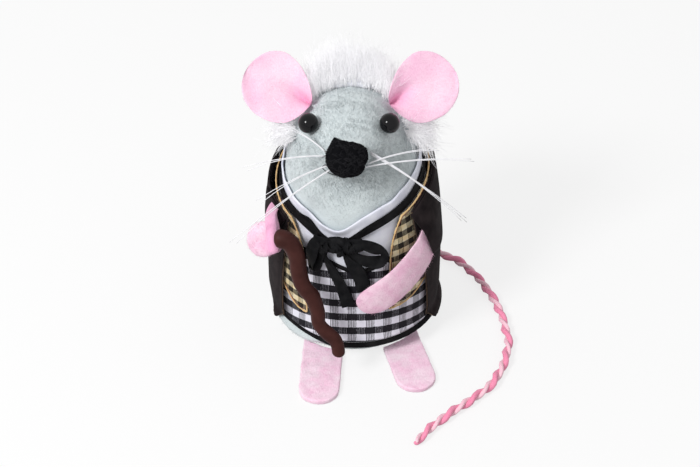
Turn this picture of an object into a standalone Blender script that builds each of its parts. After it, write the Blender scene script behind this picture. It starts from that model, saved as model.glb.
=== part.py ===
"""A stuffed felt mouse in a coat, standing, with a crooked walking stick.

Metres, +Z up. The mouse faces -Y, so its own left is +X. The origin is the
middle of the flat underside, on the floor. A turn is an angle about the body,
in degrees from the front, positive towards the mouse's left. A lift is a
distance out from the felt skin. A station is a place along the body, from the
sole to the snout.
"""
from math import cos, exp, pi, radians, sin, sqrt

import bmesh
import bpy
from mathutils import Vector

CLEARANCE = 0.0003
LAYER_GAP = 0.00035
LEFT = 1
RIGHT = -1

# Stuffed body
SKIN_WALL = 0.0012
SOLE_RADIUS = 0.0235
BULGE_RADIUS = 0.0300
BULGE_HEIGHT = 0.0055
SEAT_RADIUS = 0.0278
SEAT_HEIGHT = 0.0120
WAIST_RADIUS = 0.0272
WAIST_HEIGHT = 0.0360
NECK_HALF_WIDTH = 0.0232
NECK_FRONT_REACH = 0.0268
NECK_FRONT_RISE = 0.0238
NECK_BACK_REACH = 0.0222
NECK_SLOPE = 0.0157
CHEEK_HALF_WIDTH = 0.0192
NAPE_REACH = 0.0105
NAPE_RISE = 0.0150
THROAT_REACH = 0.0258
THROAT_RISE = 0.0124
BROW_HALF_WIDTH = 0.0128
BROW_REACH = 0.0090
BROW_RISE = 0.0050
CHIN_STEP = 0.0015
CHIN_RISE = 0.0073
SNOUT_HALF_WIDTH = 0.0058
SNOUT_TOP_STEP = 0.0172
SNOUT_UNDER_STEP = 0.0031
SNOUT_UNDER_RISE = 0.0033
SNOUT_DEPTH = 0.0090
TIP_STEP = 0.0026
TIP_RISE = 0.0060
HEAD_LEAN = -0.0022

# Neck line of the clothes: how far it is lifted and rolled off the neck seam, and its dip in front
NECK_LIFT = 0.0034
NECK_ROLL = 0.0040
COLLAR_DIP = 0.0052
COLLAR_DIP_TURN = -14.0
COLLAR_DIP_SPREAD = 20.0

# Heights and forward reaches of the head, each measured from the one before it
NECK_FRONT_HEIGHT = WAIST_HEIGHT + NECK_FRONT_RISE
NECK_BACK_HEIGHT = NECK_FRONT_HEIGHT + NECK_SLOPE
NAPE_HEIGHT = NECK_BACK_HEIGHT + NAPE_RISE
BROW_HEIGHT = NAPE_HEIGHT + BROW_RISE
THROAT_HEIGHT = NECK_FRONT_HEIGHT + THROAT_RISE
CHIN_HEIGHT = THROAT_HEIGHT + CHIN_RISE
SNOUT_UNDER_HEIGHT = CHIN_HEIGHT + SNOUT_UNDER_RISE
SNOUT_TOP_HEIGHT = SNOUT_UNDER_HEIGHT + SNOUT_DEPTH
TIP_HEIGHT = SNOUT_UNDER_HEIGHT + TIP_RISE
CHIN_REACH = THROAT_REACH + CHIN_STEP
SNOUT_TOP_REACH = BROW_REACH + SNOUT_TOP_STEP
SNOUT_UNDER_REACH = CHIN_REACH + SNOUT_UNDER_STEP
TIP_REACH = SNOUT_UNDER_REACH + TIP_STEP

# Base
BASE_FELT = 0.0012
BASE_CARD = 0.0015

# Face
EYE_RADIUS = 0.0031
EYE_SEAT = 0.0011
EYE_STATION = 6.05
EYE_TURN = 112.0
NOSE_STATION = 6.95
NOSE_THICKNESS = 0.0010
WHISKER_RADIUS = 0.00025
WHISKER_STATION = 6.72
WHISKER_SAG = 0.0015
WHISKER_LENGTHS = {LEFT: (0.0403, 0.0380, 0.0357, 0.0238), RIGHT: (0.0453, 0.0267, 0.0273, 0.0177)}
WHISKER_ROOT_TURNS = {LEFT: (84.0, 96.0, 44.0, 56.0), RIGHT: (42.0, 54.0, 82.0, 94.0)}
WHISKER_RISES = {LEFT: (-36.6, -35.4, 2.3, 8.0), RIGHT: (-41.1, -26.5, -11.0, 24.2)}
WHISKER_LEANS = {LEFT: (7.5, 12.7, -3.3, -8.9), RIGHT: (3.2, 10.3, 0.2, -19.0)}

# Ears
EAR_RADIUS = 0.0121
EAR_STALK = 0.0122
EAR_BASE_HALF = 0.0024
EAR_FELT = 0.0013
EAR_CUP = 0.0022
EAR_TILT = 38.0
EAR_SPREAD = 27.0
EAR_STATION = 5.45
EAR_TURN = 129.0

# Hair
HAIR_EDGE = 0.0016
HAIR_DEPTH = 0.0075
HAIR_CROWN = 0.0060
HAIR_TURN = 100.0
HAIR_SIDE_STATION = {LEFT: 5.0, RIGHT: 4.75}
HAIR_TOP_STATION = 5.35
HAIR_PARTING = 26.0

# Clothes, from the skin out
COLLAR_RIM = 0.0024
SHIRT_CLOTH = 0.0005
SHIRT_BOTTOM = 0.0380
TROUSER_CLOTH = 0.0005
TROUSER_TOP = 0.0440
TROUSER_BOTTOM = 0.0088
BINDING_WIDTH = 0.0017
RIBBON_CLOTH = 0.0004
RIBBON_WIDTH = 0.0048
WAISTCOAT_CLOTH = 0.0005
WAISTCOAT_SIDE_TURN = 82.0
WAISTCOAT_SIDE_BOTTOM = 0.0310
COAT_CLOTH = 0.0006
COAT_HEM = 0.0090
COAT_CORNER_RISE = 0.0012
COAT_CORNER_TURN = 14.0
COAT_PUFF = 0.0020
COAT_PUFF_LOW = 0.0260
COAT_PUFF_HIGH = 0.0480
COAT_PUFF_START = 62.0
COAT_PUFF_FULL = 92.0
COAT_NECK_DROP = 0.0009
ARMHOLE_RADIUS = 0.0046
ARMHOLE_DROP = 0.0009

# Front edges as turns, for the mouse's left and right sides
WAISTCOAT_NECK_TURN = {LEFT: 38.0, RIGHT: 52.0}
WAISTCOAT_FRONT_TURN = {LEFT: 23.5, RIGHT: 33.5}
WAISTCOAT_POINT_HEIGHT = {LEFT: 0.0225, RIGHT: 0.0188}
WAISTCOAT_SWEEP_TURN = 68.0
COAT_CHEST_TURN = {LEFT: 45.0, RIGHT: 47.0}
COAT_HEM_TURN = {LEFT: 55.0, RIGHT: 54.0}

# Bow, measured from the middle of its knot
BOW_TURN = -11.0
KNOT_HALF_WIDTH = 0.0028
KNOT_HALF_HEIGHT = 0.0032
KNOT_DEPTH = 0.0034
LOOP_RISE = 0.0026
LOOP_REACH = {LEFT: (0.0134, -0.0054), RIGHT: (-0.0092, -0.0092)}
BOW_TAIL_REACH = {LEFT: (0.0108, -0.0158), RIGHT: (0.0030, -0.0240)}

# Arms and stick
ARM_FELT = 0.0016
ARM_TURN = 65.0
ARM_ROOT_HALF = 0.0034
ARM_HAND_HALF = {LEFT: 0.0062, RIGHT: 0.0054}
ARM_PUFF = 0.0006
ARM_LEFT_RISES = (0.0018, -0.0042, -0.0090, -0.0160, -0.0220)
ARM_RIGHT_FORWARD = (-0.0030, 0.0010, 0.0046, 0.0072, 0.0112)
ARM_RIGHT_OUTWARD = (0.0001, 0.0001, 0.0024, 0.0080, 0.0128)
ARM_RIGHT_UPWARD = (0.0, 0.0, 0.0012, 0.0006, -0.0025)
STITCH_RADIUS = 0.0005
STITCH_HEAD_RADIUS = 0.0012
STITCH_HEAD = 0.0006
STICK_TOP_RADIUS = 0.0030
STICK_TIP_RADIUS = 0.0021
STICK_WAVE = 0.0016
STICK_WAVES = 2.5
STICK_PHASE = -20.0
STICK_GRIP_SHARE = 0.05
STICK_DROP = 0.0425
STICK_ACROSS = 0.0190
STICK_OUT = 0.0115
STICK_END_SHARE = 0.05
STICK_END_FLAT = 0.45
STICK_ROWS = 22

# Feet and tail
FOOT_FELT = 0.0019
FOOT_HALF_WIDTH = 0.0071
FOOT_LENGTH = {LEFT: 0.0262, RIGHT: 0.0282}
FOOT_SEAT_TURN = {LEFT: 39.0, RIGHT: -25.0}
FOOT_POINT_TURN = {LEFT: 14.0, RIGHT: -3.0}
TAIL_RADIUS = 0.0016
TAIL_EXIT_HEIGHT = 0.0052
TAIL_STEPS = 22

# Mesh steps
TURN_STEP = 12
TIP_STEPS = 3

SHIRT_LIFT = CLEARANCE
TROUSER_LIFT = SHIRT_LIFT + SHIRT_CLOTH + LAYER_GAP
RIBBON_LIFT = TROUSER_LIFT
WAISTCOAT_LIFT = TROUSER_LIFT + TROUSER_CLOTH + LAYER_GAP
COAT_LIFT = WAISTCOAT_LIFT + WAISTCOAT_CLOTH + LAYER_GAP
RIBBON_STEP = RIBBON_CLOTH + LAYER_GAP
OVER_COAT = COAT_LIFT + COAT_CLOTH + LAYER_GAP

# Back reach, back height, front reach, front height, half width of each station
STATIONS = (
    (SOLE_RADIUS, 0.0, SOLE_RADIUS, 0.0, SOLE_RADIUS),
    (BULGE_RADIUS, BULGE_HEIGHT, BULGE_RADIUS, BULGE_HEIGHT, BULGE_RADIUS),
    (SEAT_RADIUS, SEAT_HEIGHT, SEAT_RADIUS, SEAT_HEIGHT, SEAT_RADIUS),
    (WAIST_RADIUS, WAIST_HEIGHT, WAIST_RADIUS, WAIST_HEIGHT, WAIST_RADIUS),
    (NECK_BACK_REACH, NECK_BACK_HEIGHT, NECK_FRONT_REACH, NECK_FRONT_HEIGHT, NECK_HALF_WIDTH),
    (NAPE_REACH, NAPE_HEIGHT, THROAT_REACH, THROAT_HEIGHT, CHEEK_HALF_WIDTH),
    (-BROW_REACH, BROW_HEIGHT, CHIN_REACH, CHIN_HEIGHT, BROW_HALF_WIDTH),
    (-SNOUT_TOP_REACH, SNOUT_TOP_HEIGHT, SNOUT_UNDER_REACH, SNOUT_UNDER_HEIGHT, SNOUT_HALF_WIDTH),
)
WAIST_STATION = 3
NECK_STATION = 4
LAST_STATION = len(STATIONS) - 1

# Middle line of the left arm as turn back, rise and share of puff, from its root to its hand
ARM_LEFT_LINE = (
    (-5.0, ARM_LEFT_RISES[0], 0.0), (0.0, 0.0, 0.0), (13.0, ARM_LEFT_RISES[1], 1.0),
    (27.0, ARM_LEFT_RISES[2], 1.0), (45.0, ARM_LEFT_RISES[3], 0.33), (65.0, ARM_LEFT_RISES[4], -1.0),
)
ARM_LEFT_UNDER_COAT = 2

# Way the right hand faces, as outward and upward shares
HAND_FACING = (0.35, 0.80)
HAND_TWIST_START = 4
HAND_ROW = 10

# Route of the tail over the floor, chosen by hand, from the body to the end
TAIL_ROUTE = (
    (0.0006, 0.0375, 0.0040), (0.0050, 0.0432, 0.0022), (0.0130, 0.0436, 0.0020),
    (0.0225, 0.0382, 0.0020), (0.0330, 0.0292, 0.0020), (0.0406, 0.0235, 0.0020),
    (0.0476, 0.0127, 0.0020), (0.0529, -0.0018, 0.0020), (0.0551, -0.0157, 0.0020),
    (0.0552, -0.0237, 0.0020), (0.0525, -0.0342, 0.0020), (0.0472, -0.0443, 0.0020),
    (0.0398, -0.0517, 0.0020), (0.0325, -0.0580, 0.0020), (0.0254, -0.0651, 0.0020),
    (0.0202, -0.0720, 0.0020),
)

COLOURS = {
    "grey_felt": ((0.58, 0.64, 0.66), 0.95),
    "stuffing": ((0.85, 0.84, 0.80), 1.0),
    "card": ((0.48, 0.38, 0.25), 0.9),
    "pink_felt": ((0.80, 0.45, 0.62), 0.95),
    "bead": ((0.01, 0.01, 0.012), 0.08),
    "yarn": ((0.012, 0.012, 0.014), 0.8),
    "nylon": ((0.90, 0.90, 0.92), 0.35),
    "fleece": ((0.88, 0.87, 0.92), 1.0),
    "shirt": ((0.82, 0.82, 0.90), 0.9),
    "gingham": ((0.45, 0.44, 0.50), 0.9),
    "binding": ((0.012, 0.012, 0.014), 0.85),
    "check": ((0.42, 0.36, 0.22), 0.85),
    "coat": ((0.018, 0.016, 0.016), 0.85),
    "satin": ((0.008, 0.008, 0.010), 0.45),
    "clay": ((0.075, 0.035, 0.030), 0.5),
    "tail_yarn": ((0.72, 0.27, 0.40), 0.9),
    "thread": ((0.65, 0.30, 0.45), 0.8),
}


def clear_scene():
    for item in list(bpy.data.objects):
        bpy.data.objects.remove(item, do_unlink=True)


def material(name):
    found = bpy.data.materials.get(name)
    if found:
        return found
    colour, roughness = COLOURS[name]
    made = bpy.data.materials.new(name)
    made.use_nodes = True
    shader = made.node_tree.nodes["Principled BSDF"]
    shader.inputs["Base Color"].default_value = (*colour, 1.0)
    shader.inputs["Roughness"].default_value = roughness
    shader.inputs["Metallic"].default_value = 0.0
    return made


def smoothstep(value):
    clamped = min(1.0, max(0.0, value))
    return clamped * clamped * (3.0 - 2.0 * clamped)


def mix(a, b, share):
    return a + (b - a) * share


def catmull(p0, p1, p2, p3, t):
    return 0.5 * (2 * p1 + (p2 - p0) * t + (2 * p0 - 5 * p1 + 4 * p2 - p3) * t * t
                  + (3 * p1 - p0 - 3 * p2 + p3) * t ** 3)


def smooth_path(points, steps):
    """Evenly counted points on one smooth curve through the given points."""
    path = []
    last = len(points) - 1
    for step in range(steps + 1):
        place = step * last / steps
        i = min(int(place), last - 1)
        around = [Vector(points[min(max(i + k, 0), last)]) for k in (-1, 0, 1, 2)]
        path.append(Vector([catmull(*axis, place - i) for axis in zip(*around)]))
    return path


# The body's surface

def ring(station):
    """Middle and half height of the ring in Y and Z, its half width and its sideways lean."""
    i = min(int(station), LAST_STATION - 1)
    around = [STATIONS[min(max(i + k, 0), LAST_STATION)] for k in (-1, 0, 1, 2)]
    place = min(station, LAST_STATION) - i
    back_y, back_z, front_y, front_z, half_width = [catmull(*values, place) for values in zip(*around)]
    middle = Vector((0.0, (back_y - front_y) / 2, (back_z + front_z) / 2))
    half = Vector((0.0, (back_y + front_y) / 2, (back_z - front_z) / 2))
    over = min(max(station - LAST_STATION, 0.0), 1.0) * pi / 2
    tip = Vector((0.0, -TIP_REACH, TIP_HEIGHT))
    middle = middle + (tip - middle) * sin(over)
    lean = HEAD_LEAN * smoothstep((station - WAIST_STATION) / (LAST_STATION - WAIST_STATION))
    middle.x = lean
    return middle, half * cos(over), half_width * cos(over)


def skin_point(station, turn):
    middle, half, half_width = ring(station)
    angle = radians(turn)
    return middle - half * cos(angle) + Vector((half_width * sin(angle), 0.0, 0.0))


def skin_normal(station, turn):
    step = 0.02
    low = max(station - step, 0.0)
    high = min(station + step, LAST_STATION + 0.98)
    along = skin_point(high, turn) - skin_point(low, turn)
    round_it = skin_point((low + high) / 2, turn + 1.0) - skin_point((low + high) / 2, turn - 1.0)
    return round_it.cross(along).normalized()


def skin(station, turn, lift):
    return skin_point(station, turn) + skin_normal(station, turn) * lift


def station_at(turn, height, lift=0.0):
    low, high = 0.0, NECK_STATION + 1.0
    for _ in range(34):
        middle = (low + high) / 2
        point = skin(middle, turn, lift) if lift else skin_point(middle, turn)
        if point.z < height:
            low = middle
        else:
            high = middle
    return (low + high) / 2


def wrap(turn, height, lift):
    return skin(station_at(turn, height), turn, lift)


def neck_height(turn):
    """Height of the collar's edge, higher on the mouse's left and dipped in front."""
    from_dip = (turn - COLLAR_DIP_TURN + 180.0) % 360.0 - 180.0
    dip = COLLAR_DIP * exp(-(from_dip / COLLAR_DIP_SPREAD) ** 2)
    return skin_point(NECK_STATION, turn).z + NECK_LIFT + NECK_ROLL * sin(radians(turn)) - dip


def coat_top(turn):
    return neck_height(turn) - COLLAR_RIM - RIBBON_WIDTH - COAT_NECK_DROP


def arm_height():
    """Height of the shoulders, so that each armhole stays below the coat's neck edge."""
    return coat_top(RIGHT * ARM_TURN) - ARMHOLE_DROP - ARMHOLE_RADIUS


# Mesh helpers

def finish_piece(name, mesh_builder, look):
    mesh_builder.normal_update()
    bmesh.ops.recalc_face_normals(mesh_builder, faces=mesh_builder.faces)
    mesh = bpy.data.meshes.new(name)
    mesh_builder.to_mesh(mesh)
    mesh_builder.free()
    mesh.shade_smooth()
    mesh.set_sharp_from_angle(angle=radians(50))
    piece = bpy.data.objects.new(name, mesh)
    piece.data.materials.append(material(look))
    bpy.context.scene.collection.objects.link(piece)
    return piece


def set_origin(piece, point):
    """Put the piece's origin on its joint without moving the piece."""
    for vertex in piece.data.vertices:
        vertex.co -= point
    piece.location = point


def join_rows(builder, first, second, closed):
    count = len(first)
    for i in range(count if closed else count - 1):
        k = (i + 1) % count
        builder.faces.new((first[i], first[k], second[k], second[i]))


def sheet(name, across, down, place, look, closed=False):
    """Solid sheet; place(u, v, face) gives its inner face at 0 and its outer face at 1."""
    builder = bmesh.new()
    columns = across if closed else across + 1
    faces = []
    for face in (0, 1):
        rows = []
        for j in range(down + 1):
            rows.append([builder.verts.new(place(i / across, j / down, face)) for i in range(columns)])
        faces.append(rows)
    inner, outer = faces
    for rows in (inner, outer):
        for j in range(down):
            join_rows(builder, rows[j], rows[j + 1], closed)
    for j in (0, down):
        join_rows(builder, inner[j], outer[j], closed)
    if not closed:
        for i in (0, across):
            join_rows(builder, [row[i] for row in inner], [row[i] for row in outer], False)
    return finish_piece(name, builder, look)


def bag_face(builder, stations, lift, sides):
    """Rings of points round the body, and the one point that closes them at the snout."""
    rows = []
    for station in stations:
        rows.append([builder.verts.new(skin(station, i * 360 / sides, lift)) for i in range(sides)])
    for j in range(len(rows) - 1):
        join_rows(builder, rows[j], rows[j + 1], True)
    middle, _, _ = ring(LAST_STATION)
    tip = Vector((middle.x, -TIP_REACH, TIP_HEIGHT))
    end = builder.verts.new(tip + (tip - middle).normalized() * lift)
    for i in range(sides):
        builder.faces.new((rows[-1][i], rows[-1][(i + 1) % sides], end))
    return rows[0]


def bag(name, stations, outer, inner, look):
    """Hollow bag that is open at its first station."""
    builder = bmesh.new()
    sides = 360 // TURN_STEP
    outside = bag_face(builder, stations, outer, sides)
    inside = bag_face(builder, stations, inner, sides)
    join_rows(builder, outside, inside, True)
    return finish_piece(name, builder, look)


def steps_between(first, last, count):
    return [mix(first, last, i / count) for i in range(count + 1)]


def disc(name, radius, low, high, look):
    builder = bmesh.new()
    sides = 360 // TURN_STEP
    bmesh.ops.create_cone(builder, cap_ends=True, segments=sides, radius1=radius, radius2=radius,
                          depth=high - low)
    bmesh.ops.translate(builder, verts=builder.verts, vec=(0.0, 0.0, (low + high) / 2))
    return finish_piece(name, builder, look)


def tube(name, path, radii, sides, look):
    """Round solid along a path, closed by flat ends."""
    builder = bmesh.new()
    rows = []
    side = Vector((0.0, 0.0, 1.0))
    for i, point in enumerate(path):
        along = (path[min(i + 1, len(path) - 1)] - path[max(i - 1, 0)]).normalized()
        side = (side - along * side.dot(along)).normalized()
        other = along.cross(side)
        turns = [2 * pi * k / sides for k in range(sides)]
        rows.append([builder.verts.new(point + (side * cos(a) + other * sin(a)) * radii[i]) for a in turns])
    for j in range(len(rows) - 1):
        join_rows(builder, rows[j], rows[j + 1], True)
    builder.faces.new(rows[0])
    builder.faces.new(rows[-1])
    return finish_piece(name, builder, look)


def paddle(name, centres, normals, halves, thickness, look):
    """Flat felt limb along a line of centres, with rounded long edges."""
    builder = bmesh.new()
    rows = []
    edge_share = 0.55
    for i, centre in enumerate(centres):
        along = (centres[min(i + 1, len(centres) - 1)] - centres[max(i - 1, 0)]).normalized()
        wide = normals[i].cross(along).normalized()
        up = along.cross(wide).normalized()
        half = halves[i]
        inset = min(thickness * edge_share, half * edge_share)
        outline = ((-half, 0.0), (inset - half, 0.5), (0.0, 0.5), (half - inset, 0.5),
                   (half, 0.0), (half - inset, -0.5), (0.0, -0.5), (inset - half, -0.5))
        rows.append([builder.verts.new(centre + wide * w + up * (thickness * t)) for w, t in outline])
    for j in range(len(rows) - 1):
        join_rows(builder, rows[j], rows[j + 1], True)
    builder.faces.new(rows[0])
    builder.faces.new(rows[-1])
    return finish_piece(name, builder, look)


def cut(piece, cutter):
    cutter.hide_render = True
    cutter.display_type = "WIRE"
    boolean = piece.modifiers.new("cut", "BOOLEAN")
    boolean.operation = "DIFFERENCE"
    boolean.solver = "EXACT"
    boolean.object = cutter


# Body pieces

def make_body():
    stations = steps_between(0.0, 2.0, 4) + steps_between(2.0, NECK_STATION, 4)[1:]
    stations += steps_between(NECK_STATION, LAST_STATION, 8)[1:]
    stations += steps_between(LAST_STATION, LAST_STATION + 1.0, TIP_STEPS)[1:-1]
    bag("body_skin", stations, 0.0, -SKIN_WALL, "grey_felt")
    disc_radius = SOLE_RADIUS - SKIN_WALL - CLEARANCE
    card_low = BASE_FELT + CLEARANCE
    disc("base_panel", disc_radius, 0.0, BASE_FELT, "grey_felt")
    disc("base_card", disc_radius, card_low, card_low + BASE_CARD, "card")
    make_stuffing(stations, card_low + BASE_CARD + CLEARANCE)


def make_stuffing(stations, floor_height):
    lift = -SKIN_WALL - CLEARANCE
    first = station_at(0.0, floor_height, lift)
    kept = [first] + [station for station in stations if station > first + 0.1]
    builder = bmesh.new()
    sides = 360 // TURN_STEP
    bottom = bag_face(builder, kept, lift, sides)
    builder.faces.new(bottom)
    finish_piece("stuffing", builder, "stuffing")


def make_eye(name, side):
    """Bead with the part that is pulled into the felt left off."""
    normal = skin_normal(EYE_STATION, side * EYE_TURN)
    seat = skin(EYE_STATION, side * EYE_TURN, CLEARANCE)
    builder = bmesh.new()
    bmesh.ops.create_uvsphere(builder, u_segments=14, v_segments=10, radius=EYE_RADIUS)
    bmesh.ops.translate(builder, verts=builder.verts, vec=(0.0, 0.0, EYE_RADIUS - EYE_SEAT))
    geometry = builder.verts[:] + builder.edges[:] + builder.faces[:]
    bmesh.ops.bisect_plane(builder, geom=geometry, plane_co=(0.0, 0.0, 0.0), plane_no=(0.0, 0.0, 1.0),
                           clear_inner=True)
    bmesh.ops.holes_fill(builder, edges=builder.edges)
    turn = Vector((0.0, 0.0, 1.0)).rotation_difference(normal).to_matrix().to_4x4()
    bmesh.ops.transform(builder, matrix=turn, verts=builder.verts)
    bmesh.ops.translate(builder, verts=builder.verts, vec=seat)
    finish_piece(name, builder, "bead")


def make_nose():
    stations = steps_between(NOSE_STATION, LAST_STATION + 1.0, TIP_STEPS + 1)[:-1]
    bag("nose", stations, CLEARANCE + NOSE_THICKNESS, CLEARANCE, "yarn")


def make_whiskers(word, side):
    for i, length in enumerate(WHISKER_LENGTHS[side]):
        root = skin(WHISKER_STATION, side * WHISKER_ROOT_TURNS[side][i], CLEARANCE + WHISKER_RADIUS)
        rise = radians(WHISKER_RISES[side][i])
        lean = radians(WHISKER_LEANS[side][i])
        outward = Vector((side * cos(lean) * cos(rise), -sin(lean) * cos(rise), sin(rise)))
        path = []
        for share in steps_between(0.0, 1.0, 6):
            bow = Vector((0.0, 0.0, 4 * WHISKER_SAG * share * (1 - share)))
            path.append(root + outward * (length * share) + bow)
        tube(f"whisker_{word}_{i + 1}", path, [WHISKER_RADIUS] * len(path), 6, "nylon")


def ear_frame(side):
    """Base point, direction to the tip, seam direction and facing direction of an ear."""
    tilt = radians(EAR_TILT)
    spread = radians(EAR_SPREAD)
    upward = Vector((0.0, sin(tilt), cos(tilt)))
    to_tip = Vector((side * cos(spread), 0.0, 0.0)) + upward * sin(spread)
    facing = Vector((0.0, -cos(tilt), sin(tilt)))
    seam = facing.cross(to_tip)
    base = skin(EAR_STATION, side * EAR_TURN, 2 * CLEARANCE)
    return base, to_tip, seam, facing


def ear_half_width(distance):
    """Half width of the round ear at a distance from its base, pinched at the base."""
    round_half = sqrt(max(EAR_RADIUS ** 2 - (distance - EAR_STALK) ** 2, 0.0))
    pinch = 1.0 - smoothstep(distance / (EAR_STALK * 0.55))
    return max(round_half, EAR_BASE_HALF * 0.3) * (1.0 - pinch) + EAR_BASE_HALF * pinch


def make_ear(name, side):
    base, to_tip, seam, facing = ear_frame(side)
    length = EAR_STALK + EAR_RADIUS

    def place(u, v, face):
        distance = length * sin(v * pi / 2) if v > 0.5 else length * v * sin(pi / 4) / 0.5
        across = 2.0 * u - 1.0
        curl = EAR_CUP * across * across * (1.0 - 0.6 * distance / length)
        half = ear_half_width(distance)
        return base + to_tip * distance + seam * (half * across) + facing * (curl + EAR_FELT * (face - 0.5))

    piece = sheet(name, 8, 12, place, "pink_felt")
    set_origin(piece, base)


def make_hair():
    """Fleece over the back of the head, deepest in the middle and highest between the ears."""
    def place(u, v, face):
        turn = mix(HAIR_TURN, 360.0 - HAIR_TURN, u)
        between_ears = 1.0 - smoothstep((abs(turn - 180.0) - HAIR_PARTING / 2) / HAIR_PARTING)
        top = mix(HAIR_SIDE_STATION[LEFT if turn < 180.0 else RIGHT], HAIR_TOP_STATION, between_ears)
        start = station_at(turn, neck_height(turn) + COLLAR_RIM)
        swell = sqrt(max(sin(pi * u) * sin(pi * v), 0.0))
        depth = HAIR_EDGE + (HAIR_DEPTH + HAIR_CROWN * between_ears * (1.0 - v)) * swell
        return skin(mix(top, start, v), turn, CLEARANCE + depth * face)

    sheet("hair", 20, 8, place, "fleece")


# Clothes

def band(name, top, bottom, lift, cloth, rows, look):
    """Closed ring of cloth round the body between two heights that may vary with the turn."""
    def place(u, v, face):
        turn = 360.0 * u
        return wrap(turn, mix(top(turn), bottom(turn), v), lift + cloth * face)

    sheet(name, 360 // TURN_STEP, rows, place, look, closed=True)


def level(height):
    return lambda turn: height


def below_neck(drop):
    return lambda turn: neck_height(turn) - drop


def make_shirt_and_trousers():
    binding_step = BINDING_WIDTH + CLEARANCE
    band("shirt", below_neck(0.0), level(SHIRT_BOTTOM), SHIRT_LIFT, SHIRT_CLOTH, 8, "shirt")
    band("trousers", level(TROUSER_TOP), level(TROUSER_BOTTOM), TROUSER_LIFT, TROUSER_CLOTH, 4, "gingham")
    band("waist_binding", level(TROUSER_TOP + binding_step), level(TROUSER_TOP + CLEARANCE),
         TROUSER_LIFT, TROUSER_CLOTH, 1, "binding")
    band("hem_binding", level(TROUSER_BOTTOM - CLEARANCE), level(TROUSER_BOTTOM - binding_step),
         TROUSER_LIFT, TROUSER_CLOTH, 1, "binding")
    band("neck_ribbon", below_neck(COLLAR_RIM), below_neck(COLLAR_RIM + RIBBON_WIDTH),
         RIBBON_LIFT, RIBBON_CLOTH, 1, "satin")


def make_waistcoat(name, side):
    """One front, from its neck and front edge round to the side under the coat."""
    def place(u, v, face):
        front = mix(WAISTCOAT_NECK_TURN[side], WAISTCOAT_FRONT_TURN[side], smoothstep(1.6 * v))
        turn = mix(front, WAISTCOAT_SIDE_TURN, u)
        top = neck_height(side * turn) - COLLAR_RIM - RIBBON_WIDTH
        sweep = (turn - WAISTCOAT_FRONT_TURN[side]) / (WAISTCOAT_SWEEP_TURN - WAISTCOAT_FRONT_TURN[side])
        bottom = mix(WAISTCOAT_POINT_HEIGHT[side], WAISTCOAT_SIDE_BOTTOM, smoothstep(sweep))
        return wrap(side * turn, mix(top, bottom, v), WAISTCOAT_LIFT + WAISTCOAT_CLOTH * face)

    sheet(name, 7, 7, place, "check")


def coat_edge(side, v):
    return mix(COAT_CHEST_TURN[side], COAT_HEM_TURN[side], smoothstep(v))


def coat_puff(turn, height):
    """How far the coat stands off at the shoulders."""
    from_front = min(turn, 360.0 - turn)
    at_side = smoothstep((min(from_front, 180.0 - (from_front - COAT_PUFF_FULL)) - COAT_PUFF_START)
                         / (COAT_PUFF_FULL - COAT_PUFF_START))
    return COAT_PUFF * at_side * smoothstep((height - COAT_PUFF_LOW) / (COAT_PUFF_HIGH - COAT_PUFF_LOW))


def make_coat():
    """Sleeveless coat, open in front, with an armhole on each side."""
    def place(u, v, face):
        turn = mix(coat_edge(LEFT, v), 360.0 - coat_edge(RIGHT, v), u)
        from_front = min(turn - COAT_HEM_TURN[LEFT], 360.0 - COAT_HEM_TURN[RIGHT] - turn)
        corner = COAT_CORNER_RISE * (1.0 - smoothstep(from_front / COAT_CORNER_TURN))
        height = mix(coat_top(turn), COAT_HEM + corner, v)
        return wrap(turn, height, COAT_LIFT + coat_puff(turn, height) + COAT_CLOTH * face)

    coat = sheet("coat", 30, 9, place, "coat")
    for word, side in (("left", LEFT), ("right", RIGHT)):
        cut(coat, make_armhole_cutter(f"armhole_cutter_{word}", side))


def shoulder(side):
    """Point on the skin under an armhole, and the way out from it."""
    turn = side * ARM_TURN
    outward = Vector((sin(radians(turn)), -cos(radians(turn)), 0.0))
    return wrap(turn, arm_height(), 0.0), outward


def round_bar(builder, foot, outward, radius, low, high, sides):
    turn = Vector((0.0, 0.0, 1.0)).rotation_difference(outward).to_matrix().to_4x4()
    made = bmesh.ops.create_cone(builder, cap_ends=True, segments=sides, radius1=radius, radius2=radius,
                                 depth=high - low)
    bmesh.ops.translate(builder, verts=made["verts"], vec=(0.0, 0.0, (low + high) / 2))
    bmesh.ops.transform(builder, matrix=turn, verts=made["verts"])
    bmesh.ops.translate(builder, verts=made["verts"], vec=foot)


def make_armhole_cutter(name, side):
    foot, outward = shoulder(side)
    builder = bmesh.new()
    round_bar(builder, foot, outward, ARMHOLE_RADIUS, 0.0, COAT_LIFT + 4 * ARMHOLE_RADIUS, 20)
    return finish_piece(name, builder, "coat")


# Bow

def bow_frame():
    """Knot seat, its sideways, upward and outward directions."""
    height = neck_height(BOW_TURN) - COLLAR_RIM - RIBBON_WIDTH / 2
    outward = skin_normal(station_at(BOW_TURN, height), BOW_TURN)
    sideways = Vector((0.0, 0.0, 1.0)).cross(outward).normalized()
    upward = outward.cross(sideways)
    seat = wrap(BOW_TURN, height, RIBBON_LIFT + RIBBON_CLOTH + LAYER_GAP)
    return seat, sideways, upward, outward


def make_knot():
    seat, sideways, upward, outward = bow_frame()
    builder = bmesh.new()
    bmesh.ops.create_uvsphere(builder, u_segments=12, v_segments=8, radius=1.0)
    for vertex in builder.verts:
        x, y, z = vertex.co
        vertex.co = (seat + sideways * (x * KNOT_HALF_WIDTH) + upward * (y * KNOT_HALF_HEIGHT)
                     + outward * (KNOT_DEPTH / 2 * (1.0 + z)))
    finish_piece("bow_knot", builder, "satin")


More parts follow.
